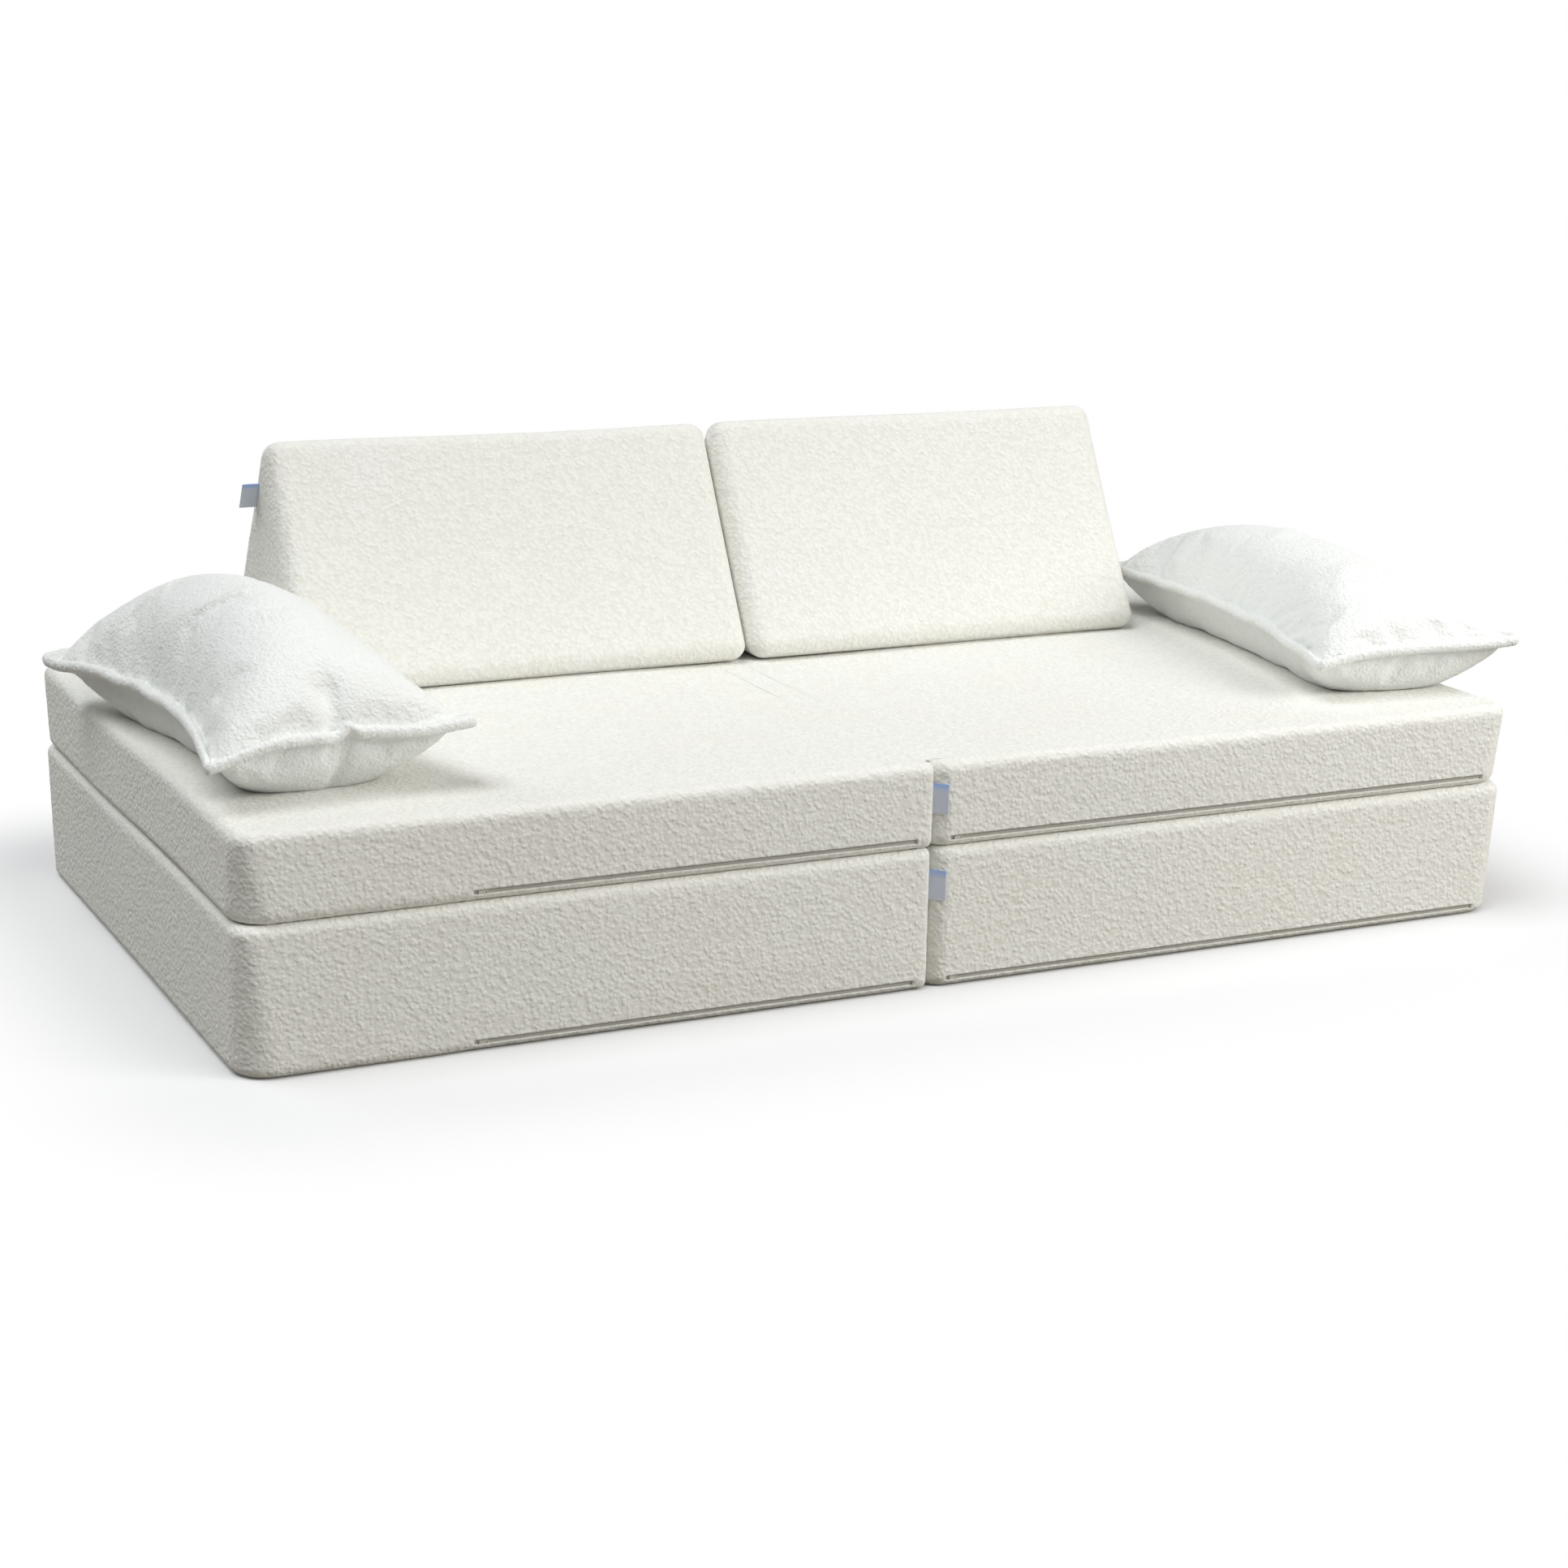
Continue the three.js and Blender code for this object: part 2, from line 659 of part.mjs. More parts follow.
function insertGeometry(pillow) {
  const drawnIn = pillowCoverThickness + clearance;
  const crown = pillowSheet(pillow, 1, drawnIn, 0);
  const belly = pillowSheet(pillow, -1, drawnIn, 0);
  return meshGeometry([...crown, ...belly], [...sheetFaces(0, 1), ...sheetFaces(crown.length, -1)]);
}

function pillowCoverGeometry(pillow, facing) {
  const outer = pillowSheet(pillow, facing, 0, clearance / 2);
  const inner = pillowSheet(pillow, facing, pillowCoverThickness, clearance / 2);
  const faces = [...sheetFaces(0, facing), ...sheetFaces(outer.length, -facing)];
  const rim = rimPlaces();
  rim.forEach((place, i) => {
    const next = rim[(i + 1) % rim.length];
    const quad = [place.number, place.number + outer.length, next.number + outer.length, next.number];
    if (facing < 0) quad.reverse();
    faces.push(quad[0], quad[1], quad[2], quad[0], quad[2], quad[3]);
  });
  return meshGeometry([...outer, ...inner], faces);
}

// Rings of a strip that follows the rim, between two distances outside it and two heights from the seam.
function rimRing(pillow, place, near, far, low, high) {
  const seam = pillowSeam(pillow, place.u, place.v);
  const inner = pillowPlan(pillow, place.u, place.v, -near);
  const outer = pillowPlan(pillow, place.u, place.v, -far);
  const middle = inner.clone().lerp(outer, 1 / 2);
  const centre = (low + high) / 2;
  const half = ((high - low) / 2) * flangeEdgeShare;
  return [
    new THREE.Vector3(inner.x, inner.y, seam + centre - half),
    new THREE.Vector3(middle.x, middle.y, seam + low),
    new THREE.Vector3(outer.x, outer.y, seam + centre - half),
    new THREE.Vector3(outer.x, outer.y, seam + centre + half),
    new THREE.Vector3(middle.x, middle.y, seam + high),
    new THREE.Vector3(inner.x, inner.y, seam + centre + half),
  ];
}

function flangeGeometry(pillow) {
  const half = flangeThickness / 2;
  const rings = rimPlaces().map((place) => rimRing(pillow, place, clearance, flangeWidth, -half, half));
  const count = rings[0].length;
  const faces = [];
  rings.forEach((ring, r) => {
    for (let i = 0; i < count; i += 1) {
      const a = r * count + i;
      const b = r * count + ((i + 1) % count);
      const c = ((r + 1) % rings.length) * count;
      faces.push(a, c + i, c + ((i + 1) % count), a, c + ((i + 1) % count), b);
    }
  });
  return meshGeometry(rings.flat(), faces);
}

// Zip tape sewn under the flange along the back end of the pillow, clear of both ears.
function pillowZipGeometry(pillow) {
  const top = -flangeThickness / 2 - clearance;
  const far = clearance + pillowZipWidth;
  const rings = [];
  for (let step = pillowZipEndSteps; step <= pillowAcrossSteps - pillowZipEndSteps; step += 1) {
    const place = { u: pillowShare(step, pillowAcrossSteps), v: 1 };
    rings.push(rimRing(pillow, place, clearance, far, top - pillowZipThickness, top));
  }
  return loft(rings);
}

function addPillow(pillow) {
  const name = 'pillow_' + pillow.side;
  addMesh(name + '_insert', insertGeometry(pillow), materials.fibre);
  addMesh(name + '_upper_cover', pillowCoverGeometry(pillow, 1), materials.pillow);
  addMesh(name + '_lower_cover', pillowCoverGeometry(pillow, -1), materials.pillow);
  addMesh(name + '_flange', flangeGeometry(pillow), materials.pillow);
  addMesh(name + '_zip_tape', pillowZipGeometry(pillow), materials.tape);
}

const wedgeLeftEnd = wedgeLeftEndSpace - sofaLength / 2;
const wedgeRightEnd = sofaLength / 2 - wedgeRightEndSpace;

addHalf('base_left', 'left', 0, baseHeight);
addHalf('base_right', 'right', 0, baseHeight);
addFoldStrip('base', baseHeight);
addSlotLabel('base_right', 0, baseLabelHeight);
addHalf('seat_left', 'left', seatFloor, seatTop);
addHalf('seat_right', 'right', seatFloor, seatTop);
addFoldStrip('seat', seatTop);
addSlotLabel('seat_right', seatFloor, seatLabelHeight);
const leftWedge = addWedge('wedge_left', wedgeLeftEnd, wedgeGapPlace - wedgeGap / 2);
addWedge('wedge_right', wedgeGapPlace + wedgeGap / 2, wedgeRightEnd);
addWedgeLabel('wedge_left', leftWedge, wedgeLeftEnd);
addPillow(leftPillow);
addPillow(rightPillow);

export default sofa;
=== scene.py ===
"""Looks of the modular foam play sofa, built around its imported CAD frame.

Boucle covers, pillows with overlocked flanges, fold strips, zips, labels and fillings. Everything is in
metres, in the frame's own axes: X runs along the sofa and its front looks along -Y.
"""

import math

import bpy
import numpy as np
from mathutils import Matrix, Vector


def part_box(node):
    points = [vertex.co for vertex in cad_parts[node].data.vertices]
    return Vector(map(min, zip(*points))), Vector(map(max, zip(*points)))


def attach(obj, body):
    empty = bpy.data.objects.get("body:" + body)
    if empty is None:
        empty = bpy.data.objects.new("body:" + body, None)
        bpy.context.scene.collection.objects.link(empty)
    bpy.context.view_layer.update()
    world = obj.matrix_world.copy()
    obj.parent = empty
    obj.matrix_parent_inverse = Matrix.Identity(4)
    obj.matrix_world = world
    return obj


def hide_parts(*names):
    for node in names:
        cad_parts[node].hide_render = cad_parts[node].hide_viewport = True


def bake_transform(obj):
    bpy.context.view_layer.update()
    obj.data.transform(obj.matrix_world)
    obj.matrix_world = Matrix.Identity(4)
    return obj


bl_info = {
    "name": "Foam Play Sofa",
    "version": (1, 0, 0),
    "blender": (4, 5, 0),
    "location": "3D View > Sidebar > Foam Sofa",
    "description": "Builds the covers, pillows, zips, labels and fillings of a modular foam play sofa",
    "category": "Object",
}

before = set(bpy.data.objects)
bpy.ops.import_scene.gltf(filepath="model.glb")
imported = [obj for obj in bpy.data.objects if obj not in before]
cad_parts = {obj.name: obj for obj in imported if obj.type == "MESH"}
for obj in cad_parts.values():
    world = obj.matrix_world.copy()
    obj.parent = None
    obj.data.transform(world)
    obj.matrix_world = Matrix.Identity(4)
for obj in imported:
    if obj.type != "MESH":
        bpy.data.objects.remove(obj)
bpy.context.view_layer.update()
MM = 0.001

# Places taken from the frame
SEAT_LOW, SEAT_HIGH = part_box("seat_left_side_band")
FOLD_X = (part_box("seat_fold_strip")[0].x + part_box("seat_fold_strip")[1].x) / 2
FRONT_Y = SEAT_LOW.y
SEAT_TOP = SEAT_HIGH.z
LEFT_END_X = SEAT_LOW.x
RIGHT_END_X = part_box("seat_right_side_band")[1].x

# Rolled edges of the foam blocks, whose end corners are tight at the top and full at the foot
TOP_ROLL = 12 * MM
FOOT_ROLL = 14 * MM
FOLD_ROLL = 5 * MM
END_CORNER_TOP = 26 * MM
END_CORNER_FOOT = 44 * MM
FOLD_CORNER = {"left": 10 * MM, "right": 22 * MM}
FOLD_SWELL = {"base": 0.5 * MM, "seat": 2 * MM}
LEAST_ROLL = 2 * MM
FOAM_DRAWN_IN = 5.3 * MM
RIBBON_REST = 0.3 * MM
STRIP_LAP = 5 * MM
LAP_DEPTH = 0.9 * MM
STRIP_PROUD = 0.35 * MM
STRIP_EDGE = 0.4 * MM

STRIP_PITCH = 2 * MM
STRIP_DIP = 2.2
STRIP_DIP_POWER = 6

# Zip groove in the rolled foot of each block and low on the back of each wedge
GROOVE_BEHIND_TAPE = 0.3 * MM
GROOVE_WALL = 0.35 * MM
HALF_WALL = GROOVE_WALL / 2
ROW_AT_ZIP = 1.6 * MM

# Covers: grid, yarn loops and slack
FINE_MARGIN = 48 * MM
ON_FACE = 1 * MM
BESIDE_TRIM = 4 * MM
LOOP_GRAIN = 9 * MM
PILLOW_LOOP_GRAIN = 7 * MM
FLANGE_LOOP_GRAIN = 6 * MM
SWAY_GRAIN = 240 * MM
BLOCK_SEED = 40
WEDGE_SEED = 60

# Section of a wedge: where its sharp corners stand
WEDGE_DEPTH = 345 * MM
WEDGE_HEIGHT = 299 * MM
WEDGE_OVERHANG = 13 * MM
WEDGE_EDGE = 20 * MM
WEDGE_END_ROLL = 24 * MM
WEDGE_APEX_SHARE = 0.51

# Overlocked flange round a pillow
FLANGE_WIDTH = 12 * MM
FLANGE_REACH = 13.5 * MM
FLANGE_THICKNESS = 14 * MM
FLANGE_NECK = 0.42
FLANGE_TUCK = 1.5 * MM
FLANGE_PITCH = 1.6 * MM
FLANGE_STEPS = 16
CORNER_PINCH = 0.45
OVERLOCK_PITCH = 5 * MM
RIB_DEPTH = 0.09

# Filling of a pillow, in the cloth modifier's own units, and the cores inside
AIR = {"use_pressure": True, "uniform_pressure_force": 4.0, "shrink_min": -0.035, "mass": 0.25,
       "bending_stiffness": 0.4}
AIR_FRAMES = 20
SWELL_LEFT_OUT = 0.7
CORE_DRAWN_IN = 11 * MM
CORE_FLATTER = 12 * MM
GATHER_GRAIN = 22 * MM


class PillowForm:
    """Measures of one pillow, given in millimetres; u runs across it and v along it, both from -1 to 1."""

    def __init__(self, side, turn, plump_share, corners, ridges, dents, puckers, seed, **millimetres):
        for name, value in millimetres.items():
            setattr(self, name, value * MM)
        outer_x, inward = (LEFT_END_X, 1) if side == "left" else (RIGHT_END_X, -1)
        self.side = side
        self.half_width = self.width / 2 - FLANGE_WIDTH
        self.half_length = self.length / 2 - FLANGE_WIDTH
        self.middle = np.array([outer_x + inward * self.end_space, FRONT_Y + self.front_space])
        self.turn = math.radians(turn)
        self.plump_share = plump_share
        self.corners = {name: height * MM for name, height in corners.items()}
        self.ridges, self.dents, self.puckers = ridges, dents, puckers
        self.seed = seed


END_DRAW = 5 * MM
RIM_WAVE_UP = 2.6 * MM
RIM_WAVE_OUT = 1.6 * MM

# Ridges are paths with a half width and a height, dents are places with a half width and a depth, and puckers
# are places along the front seam with a half width, a lift and a pull inwards.
PILLOWS = (
    PillowForm("left", width=324, length=584, turn=4.1, end_space=130, front_space=373, crown=129, belly=118,
               plump_share=0.53, left_draw=48, right_draw=34, seam=66, front_lift=9, press_in=45,
               corners={"front_left": 55, "front_right": 74, "back_left": 58, "back_right": 80},
               ridges=((((-0.97, -0.33), (-0.79, -0.32), (-0.39, -0.38), (0.0, -0.48)), 13, 3.5),
                       (((-1.0, 0.32), (-0.84, 0.17), (-0.54, -0.03), (-0.2, -0.12)), 11, 3.0),
                       (((-0.95, 0.7), (-0.7, 0.55), (-0.4, 0.5)), 12, 2.5)),
               dents=((-0.03, -0.93, 15, 9), (-0.14, -0.9, 9, 3), (0.5, -0.6, 40, 4)),
               puckers=((0.06, 7, 7, 3), (-0.04, 9, -3, 5)), gather=1.8, seed=3),
    PillowForm("right", width=299, length=650, turn=-6.9, end_space=56, front_space=394, crown=85, belly=116,
               plump_share=0.44, left_draw=23, right_draw=44, seam=65, front_lift=0, press_in=0,
               corners={"front_left": 49, "front_right": 68, "back_left": 58, "back_right": 38},
               ridges=((((-1.0, -0.96), (-0.72, -0.84), (-0.22, -0.5)), 16, 3.0),
                       (((-0.2, 0.1), (0.3, 0.3), (0.8, 0.2)), 18, 2.5)),
               dents=((-0.75, -0.35, 45, 5), (0.1, -0.75, 40, 3)), puckers=(), gather=0.4, seed=8),
)

HALVES = (("base", "left"), ("base", "right"), ("seat", "left"), ("seat", "right"))
WEDGES = ("wedge_left", "wedge_right")
WEDGE_PANELS = ("_cover_wrap", "_left_gusset", "_right_gusset", "_bottom_panel")
ZIPPED = ("base_left", "base_right", "seat_left", "seat_right", *WEDGES)
LABELS = ("base_right_label", "seat_right_label", "wedge_left_label")
# Labels and zips, with how far round them the slack of a cover dies away
TRIMS_HELD = [(label, 60 * MM) for label in LABELS] + [(name + "_zip_tape", 35 * MM) for name in ZIPPED]


def length_setting(name, description, default, least=0.0):
    """A length that a user may change."""
    return bpy.props.FloatProperty(
        name=name, description=description, default=default, min=least, subtype="DISTANCE", unit="LENGTH")


def colour_setting(name, description, default):
    """A colour that a user may change."""
    return bpy.props.FloatVectorProperty(
        name=name, description=description, default=default, size=3, min=0, max=1, subtype="COLOR")


def light_setting(name, description, default, unit="NONE"):
    """The strength of a light that a user may change."""
    return bpy.props.FloatProperty(name=name, description=description, default=default, min=0, unit=unit)


class SofaSizes(bpy.types.PropertyGroup):
    """Sizes of the soft pieces."""

    cover_pitch: length_setting("Cover grid", "Length of a face on the boucle covers", 4.0 * MM, 2 * MM)
    hidden_pitch: length_setting("Wide grid", "Length of a face across a flat part", 8.0 * MM, 2 * MM)
    filling_pitch: length_setting("Filling grid", "Length of a face on the foam inside", 30 * MM, 5 * MM)
    pillow_pitch: length_setting("Pillow grid", "Length of a face on a pillow, unsmoothed", 7.0 * MM, 3 * MM)
    swell: length_setting("Swell", "How far the pillow covers may move when they are filled", 9.0 * MM)
    loop_height: length_setting("Loop height", "How far the yarn loops stand out", 0.9 * MM)
    slack: length_setting("Slack", "How far a cover wanders from the straight foam under it", 3.0 * MM)


class SofaColours(bpy.types.PropertyGroup):
    """Colours of the fabrics and trims."""

    cover: colour_setting("Cover", "Cream boucle of the base, seat and wedges", (0.875, 0.875, 0.835))
    # Painted shade: a darker, warmer colour for the boucle between the yarn loops, standing in for the shade
    # that falls there
    cover_hollow_shade: colour_setting("Cover hollow shade", "Boucle between the yarn loops", (0.74, 0.73, 0.66))
    pillow: colour_setting("Pillow", "Cool white boucle of the pillows", (0.94, 0.955, 0.935))
    # Painted shade: a darker colour for the pillow boucle between the loops, standing in for the shade that
    # falls there
    pillow_hollow_shade: colour_setting("Pillow hollow shade", "Pillow boucle between the loops", (0.86, 0.875, 0.845))
    tape: colour_setting("Zip tape", "Woven tape over the teeth", (0.57, 0.56, 0.51))
    slider: colour_setting("Zip slider", "Matt slider without a pull", (0.66, 0.64, 0.57))
    label: colour_setting("Label", "Pale grey-blue woven label", (0.74, 0.79, 0.90))
    label_edge: colour_setting("Label edge", "Top edge of the label, where it is folded", (0.42, 0.58, 0.96))
    foam: colour_setting("Foam", "Open-cell foam inside the covers", (0.81, 0.73, 0.53))
    fibre: colour_setting("Fibre", "Fibre filling inside the pillows", (0.93, 0.93, 0.90))


class SofaStage(bpy.types.PropertyGroup):
    """The floor and the lights."""

    floor_size: length_setting("Floor", "Side of the floor", 14.0)
    shadow_reach: length_setting("Shadow reach", "How far the shadow on the floor runs", 0.36)
    top_strength: light_setting("Top light", "Wide light overhead, the same at any height", 1.82)
    front_strength: light_setting("Front light", "Wide light at the front right", 1.0)
    right_power: light_setting("Right lamp", "Power of the lamp at the front right", 58.0, "POWER")
    back_power: light_setting("Back lamp", "Power of the lamp behind the left end", 48.0, "POWER")
    sky_strength: light_setting("Sky", "Strength of the light from all around", 0.08)


# Meshes

def grid_lines(low, high, pitch, let_in=()):
    """Places from low to high about a pitch apart, with given ones let in where they fall."""
    count = max(2, round((high - low) / pitch) + 1)
    even = np.linspace(low, high, count)
    free = [x for x in even[1:-1] if all(abs(x - given) > pitch / 3 for given in let_in)]
    return np.array(sorted({low, high, *free, *let_in}))


def graded_lines(low, high, fine, wide, margin, let_in=()):
    """Places from low to high, a fine pitch apart near both ends and a wide pitch between."""
    inner_low, inner_high = low + margin, high - margin
    middle = np.linspace(inner_low, inner_high, round((inner_high - inner_low) / wide) + 1)
    start = grid_lines(low, inner_low, fine, [x for x in let_in if x < inner_low])
    end = grid_lines(inner_high, high, fine, [x for x in let_in if x > inner_high])
    return np.array(sorted({*start, *middle, *end}))


def box_surface(xs, ys, zs):
    """Points and quads of a box whose faces are gridded by three sets of lines."""
    shell = np.ones((len(xs), len(ys), len(zs)), bool)
    shell[1:-1, 1:-1, 1:-1] = False
    number = np.full(shell.shape, -1)
    number[shell] = np.arange(shell.sum())
    i, j, k = np.nonzero(shell)
    points = np.stack([xs[i], ys[j], zs[k]], 1)
    sides = (
        (number[:, :, 0], True), (number[:, :, -1], False),
        (number[:, 0, :], False), (number[:, -1, :], True),
        (number[0], True), (number[-1], False),
    )
    return points, np.concatenate([sheet_quads(layer, turned) for layer, turned in sides])


def sheet_quads(number, turned=False):
    """Quads of a grid of numbered points."""
    corners = [number[:-1, :-1], number[1:, :-1], number[1:, 1:], number[:-1, 1:]]
    quads = np.stack(corners, -1).reshape(-1, 4)
    return quads[:, ::-1] if turned else quads


def settle(points, distance, rounds=4):
    """Moves points onto the surface where a distance function is zero, each along its own slope."""
    step = 1e-6
    for _ in range(rounds):
        ways = step * np.eye(3)
        slope = np.stack([distance(points + way) - distance(points - way) for way in ways], 1) / (2 * step)
        steep = np.maximum((slope ** 2).sum(1, keepdims=True), 0.1)
        points = points - distance(points)[:, None] * slope / steep
    return points


def extruded(flat, along, roll):
    """Distance to a solid with rolled edges, from the distances to its flat outline and to its two ends."""
    a, b = flat + roll, along + roll
    outside = np.hypot(np.maximum(a, 0), np.maximum(b, 0))
    return outside + np.minimum(np.maximum(a, b), 0) - roll


def block_distance(low, high, side, drawn_in=0.0):
    """Distance function of a foam block: round corners at its outer end, tighter ones at the fold."""
    low, high = np.array(low) + drawn_in, np.array(high) - drawn_in
    middle, half = (low + high) / 2, (high - low) / 2
    fold_way = 1 if side == "left" else -1
    foot, head = low[2] + FOOT_ROLL, high[2] - TOP_ROLL
    fold_corner = FOLD_CORNER[side]

    def distance(points):
        p = points - middle
        rise = np.clip((points[:, 2] - foot) / (head - foot), 0, 1)
        end_corner = END_CORNER_FOOT + (END_CORNER_TOP - END_CORNER_FOOT) * rise
        towards_fold = p[:, 0] * fold_way
        corner = np.where(towards_fold > 0, fold_corner, end_corner) - drawn_in
        qx = np.abs(p[:, 0]) - half[0] + corner
        qy = np.abs(p[:, 1]) - half[1] + corner
        flat = np.hypot(np.maximum(qx, 0), np.maximum(qy, 0)) + np.minimum(np.maximum(qx, qy), 0) - corner
        facing = np.clip((towards_fold - half[0] + fold_corner) / fold_corner, 0, 1)
        beside = np.clip((np.abs(p[:, 1]) - half[1] + fold_corner) / fold_corner, 0, 1)
        tight = facing * (1 - beside) ** 2
        edge = np.where(p[:, 2] > 0, TOP_ROLL, FOOT_ROLL)
        roll = np.maximum(edge + (FOLD_ROLL - edge) * tight - drawn_in, LEAST_ROLL)
        return extruded(flat, np.abs(p[:, 2]) - half[2], roll)

    return distance


def wedge_corners():
    """Front foot, back foot and sharp apex of the wedges in Y and Z."""
    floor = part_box("wedge_left_cover_wrap")[0].z
    back = -FRONT_Y + WEDGE_OVERHANG
    front = back - WEDGE_DEPTH
    apex = front + WEDGE_DEPTH * WEDGE_APEX_SHARE
    half_angle = (math.atan((apex - front) / WEDGE_HEIGHT) + math.atan((back - apex) / WEDGE_HEIGHT)) / 2
    rise = WEDGE_EDGE * (1 / math.sin(half_angle) - 1)
    return np.array([[front, floor], [back, floor], [apex, floor + WEDGE_HEIGHT + rise]])


def inset_corners(corners, inset):
    """The corners of a triangle whose sides have moved in, drawn towards the middle of its inner circle."""
    opposite = np.linalg.norm(np.roll(corners, -1, 0) - np.roll(corners, 1, 0), axis=1)
    middle = opposite @ corners / opposite.sum()
    radius = abs(np.linalg.det(corners[1:] - corners[0])) / opposite.sum()
    return middle + (corners - middle) * (1 - inset / radius)


def segment_distance(points, a, b):
    """Distance from points to the straight line between two ends."""
    side, there = b - a, points - a
    share = np.clip(there @ side / (side @ side), 0, 1)
    return np.linalg.norm(there - share[..., None] * side, axis=-1)


def triangle_distance(points, corners):
    """Distance from points in a plane to a triangle, below zero inside it."""
    nearest = np.full(len(points), np.inf)
    inside = np.ones(len(points), bool)
    for a, b in zip(corners, np.roll(corners, -1, 0)):
        nearest = np.minimum(nearest, segment_distance(points, a, b))
        side, there = b - a, points - a
        inside &= side[0] * there[:, 1] - side[1] * there[:, 0] > 0
    return np.where(inside, -nearest, nearest)


def wedge_distance(x_low, x_high, drawn_in=0.0):
    """Distance function of a wedge with rounded edges and rolled ends."""
    radius = WEDGE_EDGE - drawn_in
    core = inset_corners(wedge_corners(), WEDGE_EDGE)
    middle, half = (x_low + x_high) / 2, (x_high - x_low) / 2 - drawn_in

    def distance(points):
        flat = triangle_distance(points[:, 1:], core) - radius
        return extruded(flat, np.abs(points[:, 0] - middle) - half, WEDGE_END_ROLL - drawn_in)

    return distance


def prism_surface(xs, corners, pitch, rows_at=()):
    """Points and quads of a triangular prism: rings along it, and ends that shrink to their middle."""
    outline = []
    for i, (a, b) in enumerate(zip(corners, np.roll(corners, -1, 0))):
        length = np.hypot(*(b - a))
        given = [place for side, place in rows_at if side == i]
        shares = grid_lines(0, length, pitch, given)[:-1] / length
        outline.append(a + shares[:, None] * (b - a))
    outline = np.concatenate(outline)
    middle = corners.mean(0)
    reach = np.hypot(*(outline - middle).T).min()
    shares = np.linspace(0, 1, round(reach / pitch) + 1)[1:]
    growing = shares[:-1]
    rings = [(xs[0], s) for s in growing] + [(x, 1) for x in xs] + [(xs[-1], s) for s in growing[::-1]]
    points = [np.insert(middle + (outline - middle) * s, 0, x, 1) for x, s in rings]
    points = np.concatenate([*points, [[xs[0], *middle], [xs[-1], *middle]]])
    count = len(outline)
    number = np.arange(len(rings) * count).reshape(len(rings), count)
    quads = sheet_quads(np.concatenate([number, number[:, :1]], 1))
    first, last = number[0], number[-1]
    start = [[len(points) - 2, first[i - 1], first[i]] for i in range(count)]
    end = [[len(points) - 1, last[i], last[i - 1]] for i in range(count)]
    return points, [*quads.tolist(), *start, *end]


def soft_noise(points, grain, seed):
    """Smooth noise on points, from about -1 to 1, whose swells are about a grain across."""
    waves = 14
    chance = np.random.default_rng(seed)
    ways = chance.normal(size=(waves, 3))
    lengths = np.linalg.norm(ways, axis=1, keepdims=True)
    ways *= math.pi / grain / lengths * chance.uniform(0.6, 1.3, (waves, 1))
    phases = chance.uniform(0, 2 * math.pi, waves)
    return np.sin(points @ ways.T + phases).sum(-1) / (1.4 * math.sqrt(waves))


def add_mesh(name, points, faces, material):
    """A smooth mesh object made of points and faces."""
    mesh = bpy.data.meshes.new(name)
    faces = faces.tolist() if isinstance(faces, np.ndarray) else faces
    mesh.from_pydata(points.tolist(), [], faces)
    mesh.polygons.foreach_set("use_smooth", np.ones(len(mesh.polygons), bool))
    mesh.update()
    mesh.materials.append(material)
    made = bpy.data.objects.new(name, mesh)
    bpy.context.scene.collection.objects.link(made)
    return made


def roughen(piece, name, grain, reach, still=None):
    """Moves a piece's surface in and out by soft noise of a given grain, apart from points held still."""
    texture = bpy.data.textures.new(name, "CLOUDS")
    texture.noise_scale = grain
    texture.noise_depth = 1
    displace = piece.modifiers.new(name, "DISPLACE")
    displace.texture = texture
    displace.texture_coords = "LOCAL"
    displace.strength = reach
    displace.mid_level = 0.5
    if still is not None:
        group = piece.vertex_groups.get("free") or piece.vertex_groups.new(name="free")
        group.add(np.nonzero(~still)[0].tolist(), 1.0, "REPLACE")
        displace.vertex_group = "free"


def dress(piece, slot, body, *nodes):
    """Seats a piece on its body and hides the CAD nodes that it stands for; the slot is not used."""
    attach(piece, body)
    if nodes:
        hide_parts(*nodes)
    return piece


def read_points(mesh):
    """All points of a mesh as an array."""
    flat = np.empty(len(mesh.vertices) * 3)
    mesh.vertices.foreach_get("co", flat)
    return flat.reshape(-1, 3)


# Block covers

def lips(low, high):
    """Lines on which the two lips of a groove and the feet of its walls stand."""
    return [low, low + GROOVE_WALL, high - GROOVE_WALL, high]


def zip_rows(low, high):
    """The lips of a zip groove with a row of faces above and below them."""
    return [low - ROW_AT_ZIP, *lips(low, high), high + ROW_AT_ZIP]


def within(places, low, high):
    """Which places lie inside a groove, past half its wall."""
    return (places > low + HALF_WALL) & (places < high - HALF_WALL)


def zip_zone(name):
    """Low and high corner of the groove around a block's zip tape."""
    low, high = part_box(name + "_zip_tape")
    air = Vector((GROOVE_BEHIND_TAPE, 0, GROOVE_BEHIND_TAPE))
    return low - air, high + air


def groove_back(name):
    """The lowest and highest point in Y and Z behind a block's slanted zip tape."""
    places = read_points(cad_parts[name + "_zip_tape"].data)
    low = places[places[:, 2] < places[:, 2].min() + ON_FACE]
    high = places[places[:, 2] > places[:, 2].max() - ON_FACE]
    return [(part[:, 1].max() + GROOVE_BEHIND_TAPE, part[part[:, 1].argmax(), 2]) for part in (low, high)]


def foot_line(floor, height):
    """Height on a block's flat front that settles at a given height on its rolled foot."""
    centre = floor + FOOT_ROLL
    if height >= centre:
        return height
    return centre + FOOT_ROLL * math.tan(math.asin((height - centre) / FOOT_ROLL))


def cover_box(name):
    """Low and high corner of a block's whole cover, down to its bottom panel."""
    low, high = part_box(name + "_side_band")
    return Vector((low.x, low.y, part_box(name + "_bottom_panel")[0].z)), high


